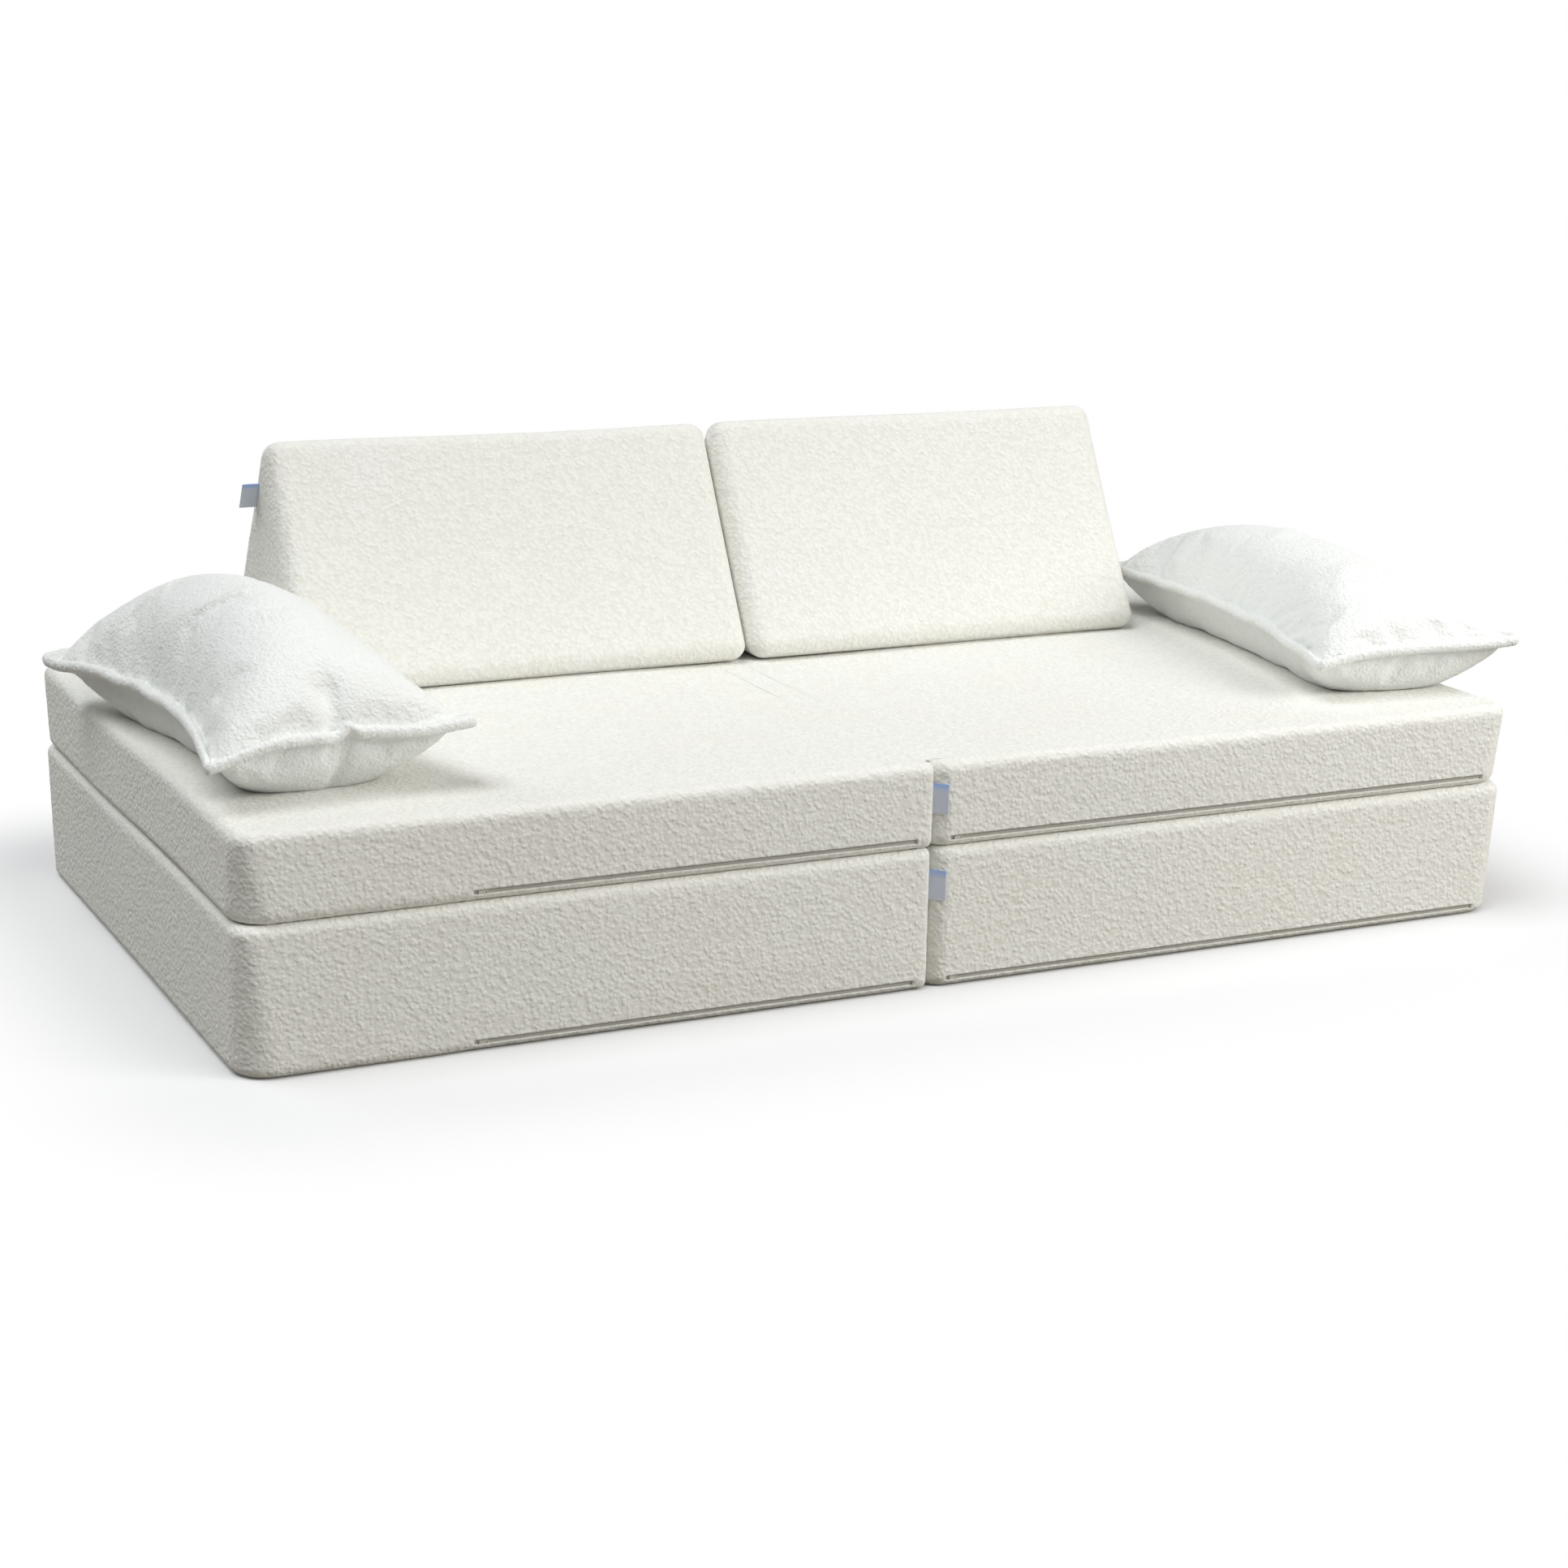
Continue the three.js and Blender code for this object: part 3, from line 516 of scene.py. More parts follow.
def block_cover(kind, side, sizes):
    """One block's cover with its zip groove and fold strip recess: points, quads, which are held still."""
    name = f"{kind}_{side}"
    low, high = cover_box(name)
    strip_low, strip_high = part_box(kind + "_fold_strip")
    groove_low, groove_high = zip_zone(name)
    recess_end = strip_high.y + RIBBON_REST
    if side == "left":
        inner, recess_x = 1, strip_low.x - RIBBON_REST
        high.x += FOLD_SWELL[kind]
    else:
        inner, recess_x = -1, strip_high.x + RIBBON_REST
    xs_in = [recess_x, recess_x + inner * GROOVE_WALL, *lips(groove_low.x, groove_high.x)]
    ys_in = [s * (recess_end - step) for s in (-1, 1) for step in (0, GROOVE_WALL)]
    rows = [groove_low.z - 2 * ROW_AT_ZIP, *zip_rows(groove_low.z, groove_high.z)]
    points, quads = box_surface(
        grid_lines(low.x, high.x, sizes.cover_pitch, xs_in),
        graded_lines(low.y, high.y, sizes.cover_pitch, sizes.hidden_pitch, FINE_MARGIN, ys_in),
        grid_lines(low.z, high.z, sizes.cover_pitch, [foot_line(low.z, z) for z in rows]),
    )
    points = settle(points, block_distance(low, high, side))
    x, y, z = points.T
    in_groove = (y < FRONT_Y + FOOT_ROLL) & within(x, groove_low.x, groove_high.x)
    in_groove &= within(z, groove_low.z, groove_high.z)
    back_low, back_high = groove_back(name)
    rise = np.clip((z - back_low[1]) / (back_high[1] - back_low[1]), 0, 1)
    y = np.where(in_groove, back_low[0] + (back_high[0] - back_low[0]) * rise, y)
    in_recess = ((x - recess_x) * inner > HALF_WALL) & (np.abs(y) < recess_end - HALF_WALL)
    in_recess &= z > high.z - FOLD_ROLL
    z = np.where(in_recess, np.minimum(z, strip_low.z - RIBBON_REST), z)
    still = in_groove | in_recess | (z < low.z + ON_FACE) | near_trim(points)
    if kind == "base":
        still |= z > high.z - ON_FACE
    return np.stack([x, y, z], 1), quads, still


def wander(points, still, slack, seed):
    """Moves a cover's points by broad soft noise, as it lies loose on foam, but not at a label or a zip."""
    sway = np.stack([soft_noise(points, SWAY_GRAIN, seed + i) for i in range(3)], 1)
    share = np.where(still, 0.0, 1.0)
    for trim, reach in TRIMS_HELD:
        share = share * np.clip(box_gap(points, *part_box(trim)) / reach - 0.1, 0, 1)
    return points + sway * (slack / 2) * share[:, None]


def box_gap(points, low, high):
    """Distance from points to a box, zero inside it."""
    low, high = np.array(low), np.array(high)
    return np.linalg.norm(np.maximum(np.maximum(low - points, points - high), 0), axis=1)


def near_trim(points):
    """Which points lie under or beside a label or a zip."""
    return np.any([box_gap(points, *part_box(trim)) < BESIDE_TRIM for trim, _ in TRIMS_HELD], axis=0)


def add_cover(context, name, points, faces, still, seed, loop_share=1.0):
    """A boucle cover that lies loose on its foam, with its yarn loops in relief."""
    sizes = context.scene.sofa_sizes
    points = wander(points, still, sizes.slack, seed)
    piece = add_mesh(name + "_cover", points, faces, boucle_material(context))
    roughen(piece, name + "_loops", LOOP_GRAIN, sizes.loop_height * loop_share, still)
    return piece


class SOFA_OT_block_covers(bpy.types.Operator):
    """Boucle covers of the two base blocks and the two seat blocks"""

    bl_idname = "foam_sofa.block_covers"
    bl_label = "Block covers"

    def execute(self, context):
        for kind, side in HALVES:
            name = f"{kind}_{side}"
            piece = add_cover(context, name, *block_cover(kind, side, context.scene.sofa_sizes), BLOCK_SEED)
            dress(piece, "cover", name, name + "_side_band", name + "_top_panel", name + "_bottom_panel")
        return {"FINISHED"}


class SOFA_OT_fold_strips(bpy.types.Operator):
    """Cover strips on which the right halves fold over the left ones"""

    bl_idname = "foam_sofa.fold_strips"
    bl_label = "Fold strips"

    def execute(self, context):
        for kind in ("base", "seat"):
            low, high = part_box(kind + "_fold_strip")
            lap_low, lap_high = low.x - STRIP_LAP, high.x + STRIP_LAP
            lines = [lap_low + STRIP_EDGE, low.x, high.x, lap_high - STRIP_EDGE]
            points, quads = box_surface(
                grid_lines(lap_low, lap_high, STRIP_PITCH, lines),
                grid_lines(low.y, high.y, context.scene.sofa_sizes.cover_pitch),
                np.array([low.z, high.z]),
            )
            on_top = points[:, 2] > (low.z + high.z) / 2
            lapped = np.clip(np.abs(points[:, 0] - FOLD_X) / (lap_high - FOLD_X), 0, 1)
            proud = STRIP_PROUD * (1 - STRIP_DIP * lapped ** STRIP_DIP_POWER) if kind == "seat" else 0
            beside = (points[:, 0] < low.x) | (points[:, 0] > high.x)
            floor = np.where(beside, high.z - LAP_DEPTH, low.z)
            points[:, 2] = np.where(on_top, high.z + proud, floor)
            still = ~on_top | (kind == "base")
            piece = add_cover(context, kind + "_fold", points, quads, still, BLOCK_SEED)
            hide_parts(kind + "_fold_strip")
            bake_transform(piece)
        return {"FINISHED"}


class SOFA_OT_wedge_covers(bpy.types.Operator):
    """Boucle covers of the two back wedges"""

    bl_idname = "foam_sofa.wedge_covers"
    bl_label = "Wedge covers"

    def execute(self, context):
        pitch = context.scene.sofa_sizes.cover_pitch
        for name in WEDGES:
            piece = add_cover(context, name, *wedge_cover(name, pitch), WEDGE_SEED, loop_share=0.5)
            dress(piece, "cover", name, *[name + part for part in WEDGE_PANELS])
        return {"FINISHED"}


def wedge_cover(name, pitch):
    """One wedge's cover with its zip groove: points, faces, which are held still."""
    low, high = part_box(name + "_cover_wrap")
    corners = wedge_corners()
    slope = corners[2] - corners[1]
    slope = slope / np.hypot(*slope)
    outward = np.array([slope[1], -slope[0]])
    tape = read_points(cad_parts[name + "_zip_tape"].data)
    up = (tape[:, 1:] - corners[1]) @ slope
    depth = ((tape[:, 1:] - corners[1]) @ outward).min() - GROOVE_BEHIND_TAPE
    up_low, up_high = up.min() - GROOVE_BEHIND_TAPE, up.max() + GROOVE_BEHIND_TAPE
    x_low, x_high = tape[:, 0].min() - GROOVE_BEHIND_TAPE, tape[:, 0].max() + GROOVE_BEHIND_TAPE
    xs = grid_lines(low.x, high.x, pitch, lips(x_low, x_high))
    points, faces = prism_surface(xs, corners, pitch, [(1, place) for place in zip_rows(up_low, up_high)])
    points = settle(points, wedge_distance(low.x, high.x), rounds=6)
    there = points[:, 1:] - corners[1]
    rise, out = there @ slope, there @ outward
    in_groove = (out > -WEDGE_EDGE / 2) & within(rise, up_low, up_high) & within(points[:, 0], x_low, x_high)
    sunk = corners[1] + rise[:, None] * slope + depth * outward
    points[:, 1:] = np.where(in_groove[:, None], sunk, points[:, 1:])
    return points, faces, in_groove | (points[:, 2] < low.z + ON_FACE) | near_trim(points)


# Pillows

def rim_wave(form, u, v, grain, seed):
    """Uneven hand of the seam: noise along the rim that dies away inwards."""
    at = np.stack([u * form.half_width, v * form.half_length, np.zeros_like(u)], -1)
    near_rim = np.maximum(u * u, v * v) ** 8
    return soft_noise(at, grain, form.seed + seed) * near_rim


def pucker_share(form, u, v, place, half_width):
    """How much of a pucker in the front seam reaches (u, v)."""
    return np.exp(-((u - place) * form.half_width / (half_width * MM)) ** 2) * np.maximum(-v, 0) ** 12


def pillow_plan(form, u, v, drawn_in):
    """Place in X and Y of (u, v) on a layer drawn in from the rim."""
    half_width, half_length = form.half_width - drawn_in, form.half_length - drawn_in
    press = (u + 1) / 2 * np.maximum((v + 1) / 2, 0) ** 2
    side_draw = np.where(u < 0, form.left_draw, form.right_draw)
    x = u * (half_width - side_draw * (1 - v * v)) - form.press_in * press
    y = v * (half_length - END_DRAW * (1 - u * u))
    wave = rim_wave(form, u, v, 55 * MM, 1) * RIM_WAVE_OUT
    x = x + u ** 9 * wave
    y = y + v ** 9 * wave
    for place, half_width_there, _, pull in form.puckers:
        y = y + pucker_share(form, u, v, place, half_width_there) * pull * MM
    c, s = math.cos(form.turn), math.sin(form.turn)
    return np.stack([x * c - y * s, x * s + y * c], -1) + form.middle


def pillow_seam(form, u, v):
    """Height of the rim's seam, carried over the whole pillow."""
    left, front = (1 - u) / 2, (1 - v) / 2
    corners = form.corners
    mixed = front * (left * corners["front_left"] + (1 - left) * corners["front_right"])
    mixed = mixed + (1 - front) * (left * corners["back_left"] + (1 - left) * corners["back_right"])
    height = SEAT_TOP + form.seam + (mixed - form.seam) * (u * v) ** 2
    height = height + form.front_lift * np.maximum(-v, 0) ** 2 * (1 - u * u)
    height = height + rim_wave(form, u, v, 45 * MM, 2) * RIM_WAVE_UP
    for place, half_width, lift, _ in form.puckers:
        height = height + pucker_share(form, u, v, place, half_width) * lift * MM
    return height


def pillow_point(form, u, v, facing, drawn_in=0.0, flatter=0.0):
    """Points on the crown (facing 1) or the belly (facing -1)."""
    plan = pillow_plan(form, u, v, drawn_in)
    shape = np.maximum((1 - u * u) * (1 - v * v), 0) ** form.plump_share
    seam = pillow_seam(form, u, v)
    taken = drawn_in + flatter
    if facing > 0:
        height = seam + (form.crown - taken) * shape
    else:
        height = np.maximum(seam - (form.belly - taken) * shape, SEAT_TOP + RIBBON_REST + drawn_in)
    return np.concatenate([plan, height[..., None]], -1)


def path_distance(form, u, v, path):
    """Distance in the pillow's own plan from (u, v) to a path of (u, v)."""
    size = np.array([form.half_width, form.half_length])
    at, ends = np.stack([u, v], -1) * size, np.array(path) * size
    return np.min([segment_distance(at, a, b) for a, b in zip(ends, ends[1:])], 0)


def pillow_relief(form, u, v):
    """Folds of the crown along its own normal: soft ridges, dents and gathers along the seam."""
    relief = np.zeros_like(u)
    for path, half_width, height in form.ridges:
        relief += height * MM * np.exp(-(path_distance(form, u, v, path) / (half_width * MM)) ** 2)
    for place_u, place_v, half_width, depth in form.dents:
        there = path_distance(form, u, v, ((place_u, place_v), (place_u + 0.001, place_v)))
        relief -= depth * MM * np.exp(-(there / (half_width * MM)) ** 2)
    zero = np.zeros_like(u)
    at_sides = np.stack([zero, v * form.half_length, np.sign(u)], -1)
    at_ends = np.stack([u * form.half_width, zero, np.sign(v)], -1)
    along_sides, along_ends = [
        soft_noise(at, GATHER_GRAIN, form.seed + step) for at, step in ((at_sides, 5), (at_ends, 6))]
    gathers = np.abs(u) ** 10 * (1 - u ** 40) * along_sides + np.abs(v) ** 16 * (1 - v ** 60) * along_ends
    return relief + gathers * form.gather


def pillow_shares(steps):
    """Places from -1 to 1 that crowd towards both ends."""
    return np.sin(np.linspace(-1, 1, steps + 1) * math.pi / 2)


def pillow_body(form, pitch, drawn_in=0.0, flatter=0.0):
    """Points and quads of a closed pillow, and which points lie on its rim."""
    across = round(form.half_width * math.pi / 2 / pitch) * 2
    along = round(form.half_length * math.pi / 2 / pitch) * 2
    u, v = np.meshgrid(pillow_shares(across), pillow_shares(along), indexing="ij")
    crown = pillow_point(form, u, v, 1, drawn_in, flatter)
    normal = np.cross(np.gradient(crown, axis=0), np.gradient(crown, axis=1))
    normal /= np.maximum(np.linalg.norm(normal, axis=-1, keepdims=True), 1e-12)
    crown = (crown + normal * pillow_relief(form, u, v)[..., None]).reshape(-1, 3)
    belly = pillow_point(form, u, v, -1, drawn_in, flatter).reshape(-1, 3)
    number = np.arange(u.size).reshape(u.shape)
    rim = np.zeros(u.shape, bool)
    rim[[0, -1], :] = True
    rim[:, [0, -1]] = True
    crown[rim.ravel()] = pillow_point(form, u, v, 1, drawn_in, flatter).reshape(-1, 3)[rim.ravel()]
    below = np.full(u.shape, -1)
    below[~rim] = u.size + np.arange((~rim).sum())
    below[rim] = number[rim]
    points = np.concatenate([crown, belly[~rim.ravel()]])
    quads = np.concatenate([sheet_quads(number), sheet_quads(below, turned=True)])
    on_rim = np.zeros(len(points), bool)
    on_rim[:u.size] = rim.ravel()
    return points, quads, on_rim


def write_points(mesh, points):
    """Moves all points of a mesh."""
    mesh.vertices.foreach_set("co", points.ravel())
    mesh.update()


def fill_with_air(piece, pinned, reach):
    """Swells a closed cover as cloth with its rim pinned, and moves no point further than its reach."""
    before = read_points(piece.data)
    rim = piece.vertex_groups.new(name="rim")
    rim.add(np.nonzero(pinned)[0].tolist(), 1.0, "REPLACE")
    cloth = piece.modifiers.new("air", "CLOTH")
    cloth.settings.vertex_group_mass = "rim"
    for name, value in AIR.items():
        setattr(cloth.settings, name, value)
    cloth.settings.effector_weights.gravity = 0.0
    scene = bpy.context.scene
    for number in range(AIR_FRAMES):
        scene.frame_set(number + 1)
    swollen = read_points(piece.evaluated_get(bpy.context.evaluated_depsgraph_get()).data)
    piece.modifiers.remove(cloth)
    scene.frame_set(1)
    moved = swollen - before
    length = np.linalg.norm(moved, axis=1, keepdims=True)
    write_points(piece.data, before + moved * (reach * np.tanh(length / reach) / np.maximum(length, 1e-9)))


def smooth_once(piece):
    """One level of subdivision, applied to the mesh."""
    piece.modifiers.new("finer", "SUBSURF").levels = 1
    finer = bpy.data.meshes.new_from_object(piece.evaluated_get(bpy.context.evaluated_depsgraph_get()))
    piece.modifiers.clear()
    piece.data = finer


def rim_path(form, pitch):
    """(u, v) once round the rim, counter-clockwise seen from above, about a pitch apart."""
    across = np.linspace(-1, 1, round(form.half_width * 2 / pitch) + 1)
    along = np.linspace(-1, 1, round(form.half_length * 2 / pitch) + 1)
    sides = (
        [(u, -1.0) for u in across[:-1]], [(1.0, v) for v in along[:-1]],
        [(u, 1.0) for u in across[:0:-1]], [(-1.0, v) for v in along[:0:-1]],
    )
    return np.array([place for side in sides for place in side])


def flange_body(form, pitch):
    """Points and quads of the overlocked flange: a stitched neck, then a ribbed, rounded edge."""
    path = rim_path(form, pitch)
    u, v = path.T
    inner = pillow_plan(form, u, v, FLANGE_TUCK)
    outer = pillow_plan(form, u, v, -FLANGE_REACH)
    outer = outer + (inner - outer) * (CORNER_PINCH * np.abs(u * v) ** 30)[:, None]
    seam = pillow_seam(form, u, v)
    ribs = np.arange(len(path)) * (2 * math.pi * pitch / OVERLOCK_PITCH)
    ribbing = 1 + RIB_DEPTH * np.sin(ribs + 0.8 * np.sin(ribs / 7.3))
    rings = []
    for turn in np.linspace(0, 2 * math.pi, FLANGE_STEPS + 1)[:-1]:
        share = (1 - math.cos(turn)) / 2
        swelling = FLANGE_NECK + (1 - FLANGE_NECK) * min(max((share - 0.12) / 0.3, 0), 1) ** 1.5
        height = math.sin(turn)
        thick = FLANGE_THICKNESS / 2 * swelling * math.copysign(abs(height) ** 0.8, height)
        flat = inner + (outer - inner) * share
        rings.append(np.concatenate([flat, (seam + thick * ribbing)[:, None]], 1))
    points = np.stack(rings, 1)
    number = np.arange(points.shape[0] * points.shape[1]).reshape(points.shape[:2])
    number = np.concatenate([number, number[:1]], 0)
    number = np.concatenate([number, number[:, :1]], 1)
    return points.reshape(-1, 3), sheet_quads(number, turned=True)


class SOFA_OT_pillows(bpy.types.Operator):
    """Stuffed pillow covers with their flanges"""

    bl_idname = "foam_sofa.pillows"
    bl_label = "Pillows"

    def execute(self, context):
        sizes = context.scene.sofa_sizes
        cover = pillow_material(context)
        for form in PILLOWS:
            name = "pillow_" + form.side
            points, quads, rim = pillow_body(form, sizes.pillow_pitch, flatter=sizes.swell * SWELL_LEFT_OUT)
            piece = add_mesh(name + "_cover", points, quads, cover)
            fill_with_air(piece, rim, sizes.swell)
            smooth_once(piece)
            points = read_points(piece.data)
            points[:, 2] = np.maximum(points[:, 2], SEAT_TOP + RIBBON_REST)
            write_points(piece.data, points)
            on_seat = points[:, 2] < SEAT_TOP + 2 * ON_FACE
            roughen(piece, name + "_loops", PILLOW_LOOP_GRAIN, sizes.loop_height, on_seat)
            dress(piece, "pillow_cover", name, name + "_upper_cover", name + "_lower_cover")
            points, quads = flange_body(form, FLANGE_PITCH)
            flange = add_mesh(name + "_flange_seam", points, quads, cover)
            roughen(flange, name + "_flange_loops", FLANGE_LOOP_GRAIN, sizes.loop_height * 1.5)
            dress(flange, "pillow_cover", name, name + "_flange")
        return {"FINISHED"}


# Fillings

class SOFA_OT_fillings(bpy.types.Operator):
    """Foam inside the blocks and wedges, and fibre inside the pillows"""

    bl_idname = "foam_sofa.fillings"
    bl_label = "Fillings"

    def execute(self, context):
        colours = context.scene.sofa_colours
        foam = filling_material("Open Cell Foam", colours.foam, 700.0, 0.6 * MM)
        fibre = filling_material("Fibre Filling", colours.fibre, 220.0, 2.0 * MM)
        pitch = context.scene.sofa_sizes.filling_pitch
        for kind, side in HALVES:
            name = f"{kind}_{side}"
            points, quads = box_surface(*[grid_lines(a, b, pitch) for a, b in zip(*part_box(name + "_foam"))])
            points = settle(points, block_distance(*cover_box(name), side, FOAM_DRAWN_IN))
            dress(add_mesh(name + "_foam_core", points, quads, foam), "foam", name, name + "_foam")
        for name in WEDGES:
            low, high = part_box(name + "_foam")
            corners = inset_corners(wedge_corners(), FOAM_DRAWN_IN)
            points, faces = prism_surface(grid_lines(low.x, high.x, pitch), corners, pitch)
            wrap_low, wrap_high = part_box(name + "_cover_wrap")
            points = settle(points, wedge_distance(wrap_low.x, wrap_high.x, FOAM_DRAWN_IN), rounds=6)
            dress(add_mesh(name + "_foam_core", points, faces, foam), "foam", name, name + "_foam")
        for form in PILLOWS:
            name = "pillow_" + form.side
            points, quads, _ = pillow_body(form, pitch, CORE_DRAWN_IN, CORE_FLATTER)
            dress(add_mesh(name + "_fibre_core", points, quads, fibre), "fibre", name, name + "_insert")
        return {"FINISHED"}


# Trims that keep their CAD shape

class SOFA_OT_trims(bpy.types.Operator):
    """Materials of the zip tapes, zip sliders and labels"""

    bl_idname = "foam_sofa.trims"
    bl_label = "Zips and labels"

    def execute(self, context):
        colours = context.scene.sofa_colours
        tape = woven("Zip Tape", colours.tape, 0.7, 1.1 * MM, 0.25 * MM, 0.75)
        label = woven("Label Weave", colours.label, 0.85, 0.7 * MM, 0.08 * MM, 0.6, colours.label_edge)
        slider = grained("Slider Plastic", colours.slider, shade(colours.slider, 0.9), 900.0, 3.0, 0.5,
                         (0.4, 0.55), 0.05 * MM)
        finishes = {name + "_zip_tape": tape for name in (*ZIPPED, "pillow_left", "pillow_right")}
        finishes |= {name + "_zip_slider": slider for name in ZIPPED}
        finishes |= {name: label for name in LABELS}
        for node, material in finishes.items():
            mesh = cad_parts[node].data
            mesh.materials.clear()
            mesh.materials.append(material)
        return {"FINISHED"}


# Materials

def set_inputs(node, inputs):
    """Links a node's inputs to sockets, or sets them to numbers and vectors."""
    for name, value in inputs.items():
        if isinstance(value, bpy.types.NodeSocket):
            node.id_data.links.new(value, node.inputs[name])
        else:
            node.inputs[name].default_value = value


def add_node(tree, kind, inputs=None, **settings):
    """A shader node with its settings and its inputs; returns the node."""
    node = tree.nodes.new("ShaderNode" + kind)
    for name, value in settings.items():
        setattr(node, name, value)
    set_inputs(node, inputs or {})
    return node


def next_node(kind, inputs, **settings):
    """A shader node in the tree of the sockets that feed it; returns its outputs."""
    tree = next(value.id_data for value in inputs.values() if isinstance(value, bpy.types.NodeSocket))
    return add_node(tree, kind, inputs, **settings).outputs


def math_node(operation, *values):
    """A Math node on sockets or numbers; returns its output."""
    return next_node("Math", dict(enumerate(values)), operation=operation)[0]


def times(value, factor):
    """A socket times a socket or a number."""
    return math_node("MULTIPLY", value, factor)


def vector_node(operation, *values):
    """A Vector Math node on sockets or vectors; returns its output."""
    outputs = next_node("VectorMath", dict(enumerate(values)), operation=operation)
    return outputs["Value" if operation == "LENGTH" else "Vector"]


def map_range(value, low, high, to_low=0.0, to_high=1.0):
    """A smooth Map Range; returns its output."""
    inputs = {"Value": value, "From Min": low, "From Max": high, "To Min": to_low, "To Max": to_high}
    return next_node("MapRange", inputs, interpolation_type="SMOOTHSTEP")[0]


def mix_colour(share, a, b):
    """A colour between a and b by a share; returns its output."""
    a, b = [c if isinstance(c, bpy.types.NodeSocket) else (*c, 1.0) for c in (a, b)]
    return next_node("Mix", {"Factor": share, "A": a, "B": b}, data_type="RGBA")["Result"]


def noise(vector, scale, detail=2.0, roughness=0.5):
    """A Noise Texture on a vector; returns its outputs."""
    inputs = {"Vector": vector, "Scale": scale, "Detail": detail, "Roughness": roughness}
    return next_node("TexNoise", inputs)


def shade(colour, share):
    """A colour times a share."""
    return [c * share for c in colour]


def new_group(name, inputs, outputs):
    """A shader node group with a Vector, numbers in and numbers out, and its two end nodes."""
    group = bpy.data.node_groups.new(name, "ShaderNodeTree")
    add_socket = group.interface.new_socket
    add_socket("Vector", in_out="INPUT", socket_type="NodeSocketVector")
    for socket, default in inputs.items():
        add_socket(socket, in_out="INPUT", socket_type="NodeSocketFloat").default_value = default
    for socket in outputs:
        add_socket(socket, in_out="OUTPUT", socket_type="NodeSocketFloat")
    return group, group.nodes.new("NodeGroupInput").outputs, group.nodes.new("NodeGroupOutput")


def boucle_group(name):
    """Curled yarn loops: Height of the pile, and Hollow where it is deep between loops, the mask where the
    boucle paints shade and raises roughness.
    """
    tree, given, end = new_group(name, {"Loop Size": 0.006, "Curl": 0.5}, ("Height", "Hollow"))
    vector, loop_size = given["Vector"], given["Loop Size"]
    per_metre = math_node("DIVIDE", 1.0, loop_size)
    drift = noise(vector, times(per_metre, 0.8))["Color"]
    reach = times(loop_size, given["Curl"])
    curled = vector_node("MULTIPLY_ADD", drift, reach, vector)
    loops = {"Vector": curled, "Scale": per_metre, "Smoothness": 0.7}
    loop = next_node("TexVoronoi", loops, feature="SMOOTH_F1")["Distance"]
    strand = noise(vector, times(per_metre, 1.6), 3.0, 0.6)["Fac"]
    tuft = noise(vector, times(per_metre, 0.55))["Fac"]
    dome = map_range(loop, 0.1, 0.7, 0.55, 0.0)
    pile = math_node("ADD", dome, times(strand, 0.5))
    height = math_node("ADD", pile, times(tuft, 1.3))
    # Hollow picks out the deep pile between loops, where the boucle's colour gets painted shade
    set_inputs(end, {"Height": height, "Hollow": map_range(height, 0.75, 1.4, 1.0, 0.0)})
    return tree


def mottle_group(name):
    """Broad soft patches that vary a fabric's colour."""
    tree, given, end = new_group(name, {"Scale": 9.0}, ("Patch",))
    patches = noise(given["Vector"], given["Scale"], 3.0)["Fac"]
    set_inputs(end, {"Patch": map_range(patches, 0.3, 0.7)})
    return tree


def weave_group(name):
    """Fine crossing threads: Height of the cloth, and the Gap between threads, where the weave gets painted
    shade.
    """
    tree, given, end = new_group(name, {"Thread": 0.0008}, ("Height", "Gap"))
    turns = math_node("DIVIDE", 2 * math.pi, given["Thread"])
    places = next_node("SeparateXYZ", {0: given["Vector"]})
    x, y, z = [math_node("SINE", times(place, turns)) for place in places]
    crossed = math_node("ADD", times(x, z), y)
    # Gap is where the threads dip apart; the weave's colour gets painted shade there
    gap = map_range(crossed, -1.2, -0.2, 1.0, 0.0)
    set_inputs(end, {"Height": map_range(crossed, -1.2, 1.2), "Gap": gap})
    return tree


GROUPS = {"Boucle Loops": boucle_group, "Soft Mottle": mottle_group, "Fine Weave": weave_group}


def use_group(name, inputs):
    """Places a group, which is built once, with its own inputs; returns its outputs."""
    group = bpy.data.node_groups.get(name) or GROUPS[name](name)
    return next_node("Group", inputs, node_tree=group)


def new_material(name):
    """A material with its Principled shader and its object coordinates."""
    material = bpy.data.materials.new(name)
    material.use_nodes = True
    tree = material.node_tree
    return material, tree.nodes["Principled BSDF"], add_node(tree, "TexCoord").outputs["Object"]


def finish_shader(shader, height, relief, inputs):
    """Feeds a shader its inputs, and a height as so many metres of bump."""
    bump = next_node("Bump", {"Height": height, "Distance": relief, "Strength": 1.0})
    set_inputs(shader, {**inputs, "Normal": bump["Normal"]})


def boucle(name, colour, hollow_shade_colour, warmth, loop, relief, sheen):
    """A boucle material: loops in relief, painted shade in the hollows between them, and broad patches of a
    warmer tone.
    """
    material, shader, vector = new_material(name)
    loops = use_group("Boucle Loops", {"Vector": vector, "Loop Size": loop, "Curl": 0.5})
    patch = use_group("Soft Mottle", {"Vector": vector, "Scale": 7.0})["Patch"]
    warm = [c * s for c, s in zip(colour, warmth)]
    toned = mix_colour(times(patch, 0.6), colour, warm)
    # Painted shade: the colour is mixed up to 40% towards the darker, warmer hollow colour where the pile is
    # deep
    depth = times(loops["Hollow"], 0.4)
    finish_shader(shader, loops["Height"], relief, {
        "Base Color": mix_colour(depth, toned, hollow_shade_colour),
        "Roughness": map_range(loops["Hollow"], 0.0, 1.0, 0.88, 1.0),
        "Sheen Weight": sheen, "Sheen Roughness": 0.6, "Specular IOR Level": 0.15,
    })
    return material


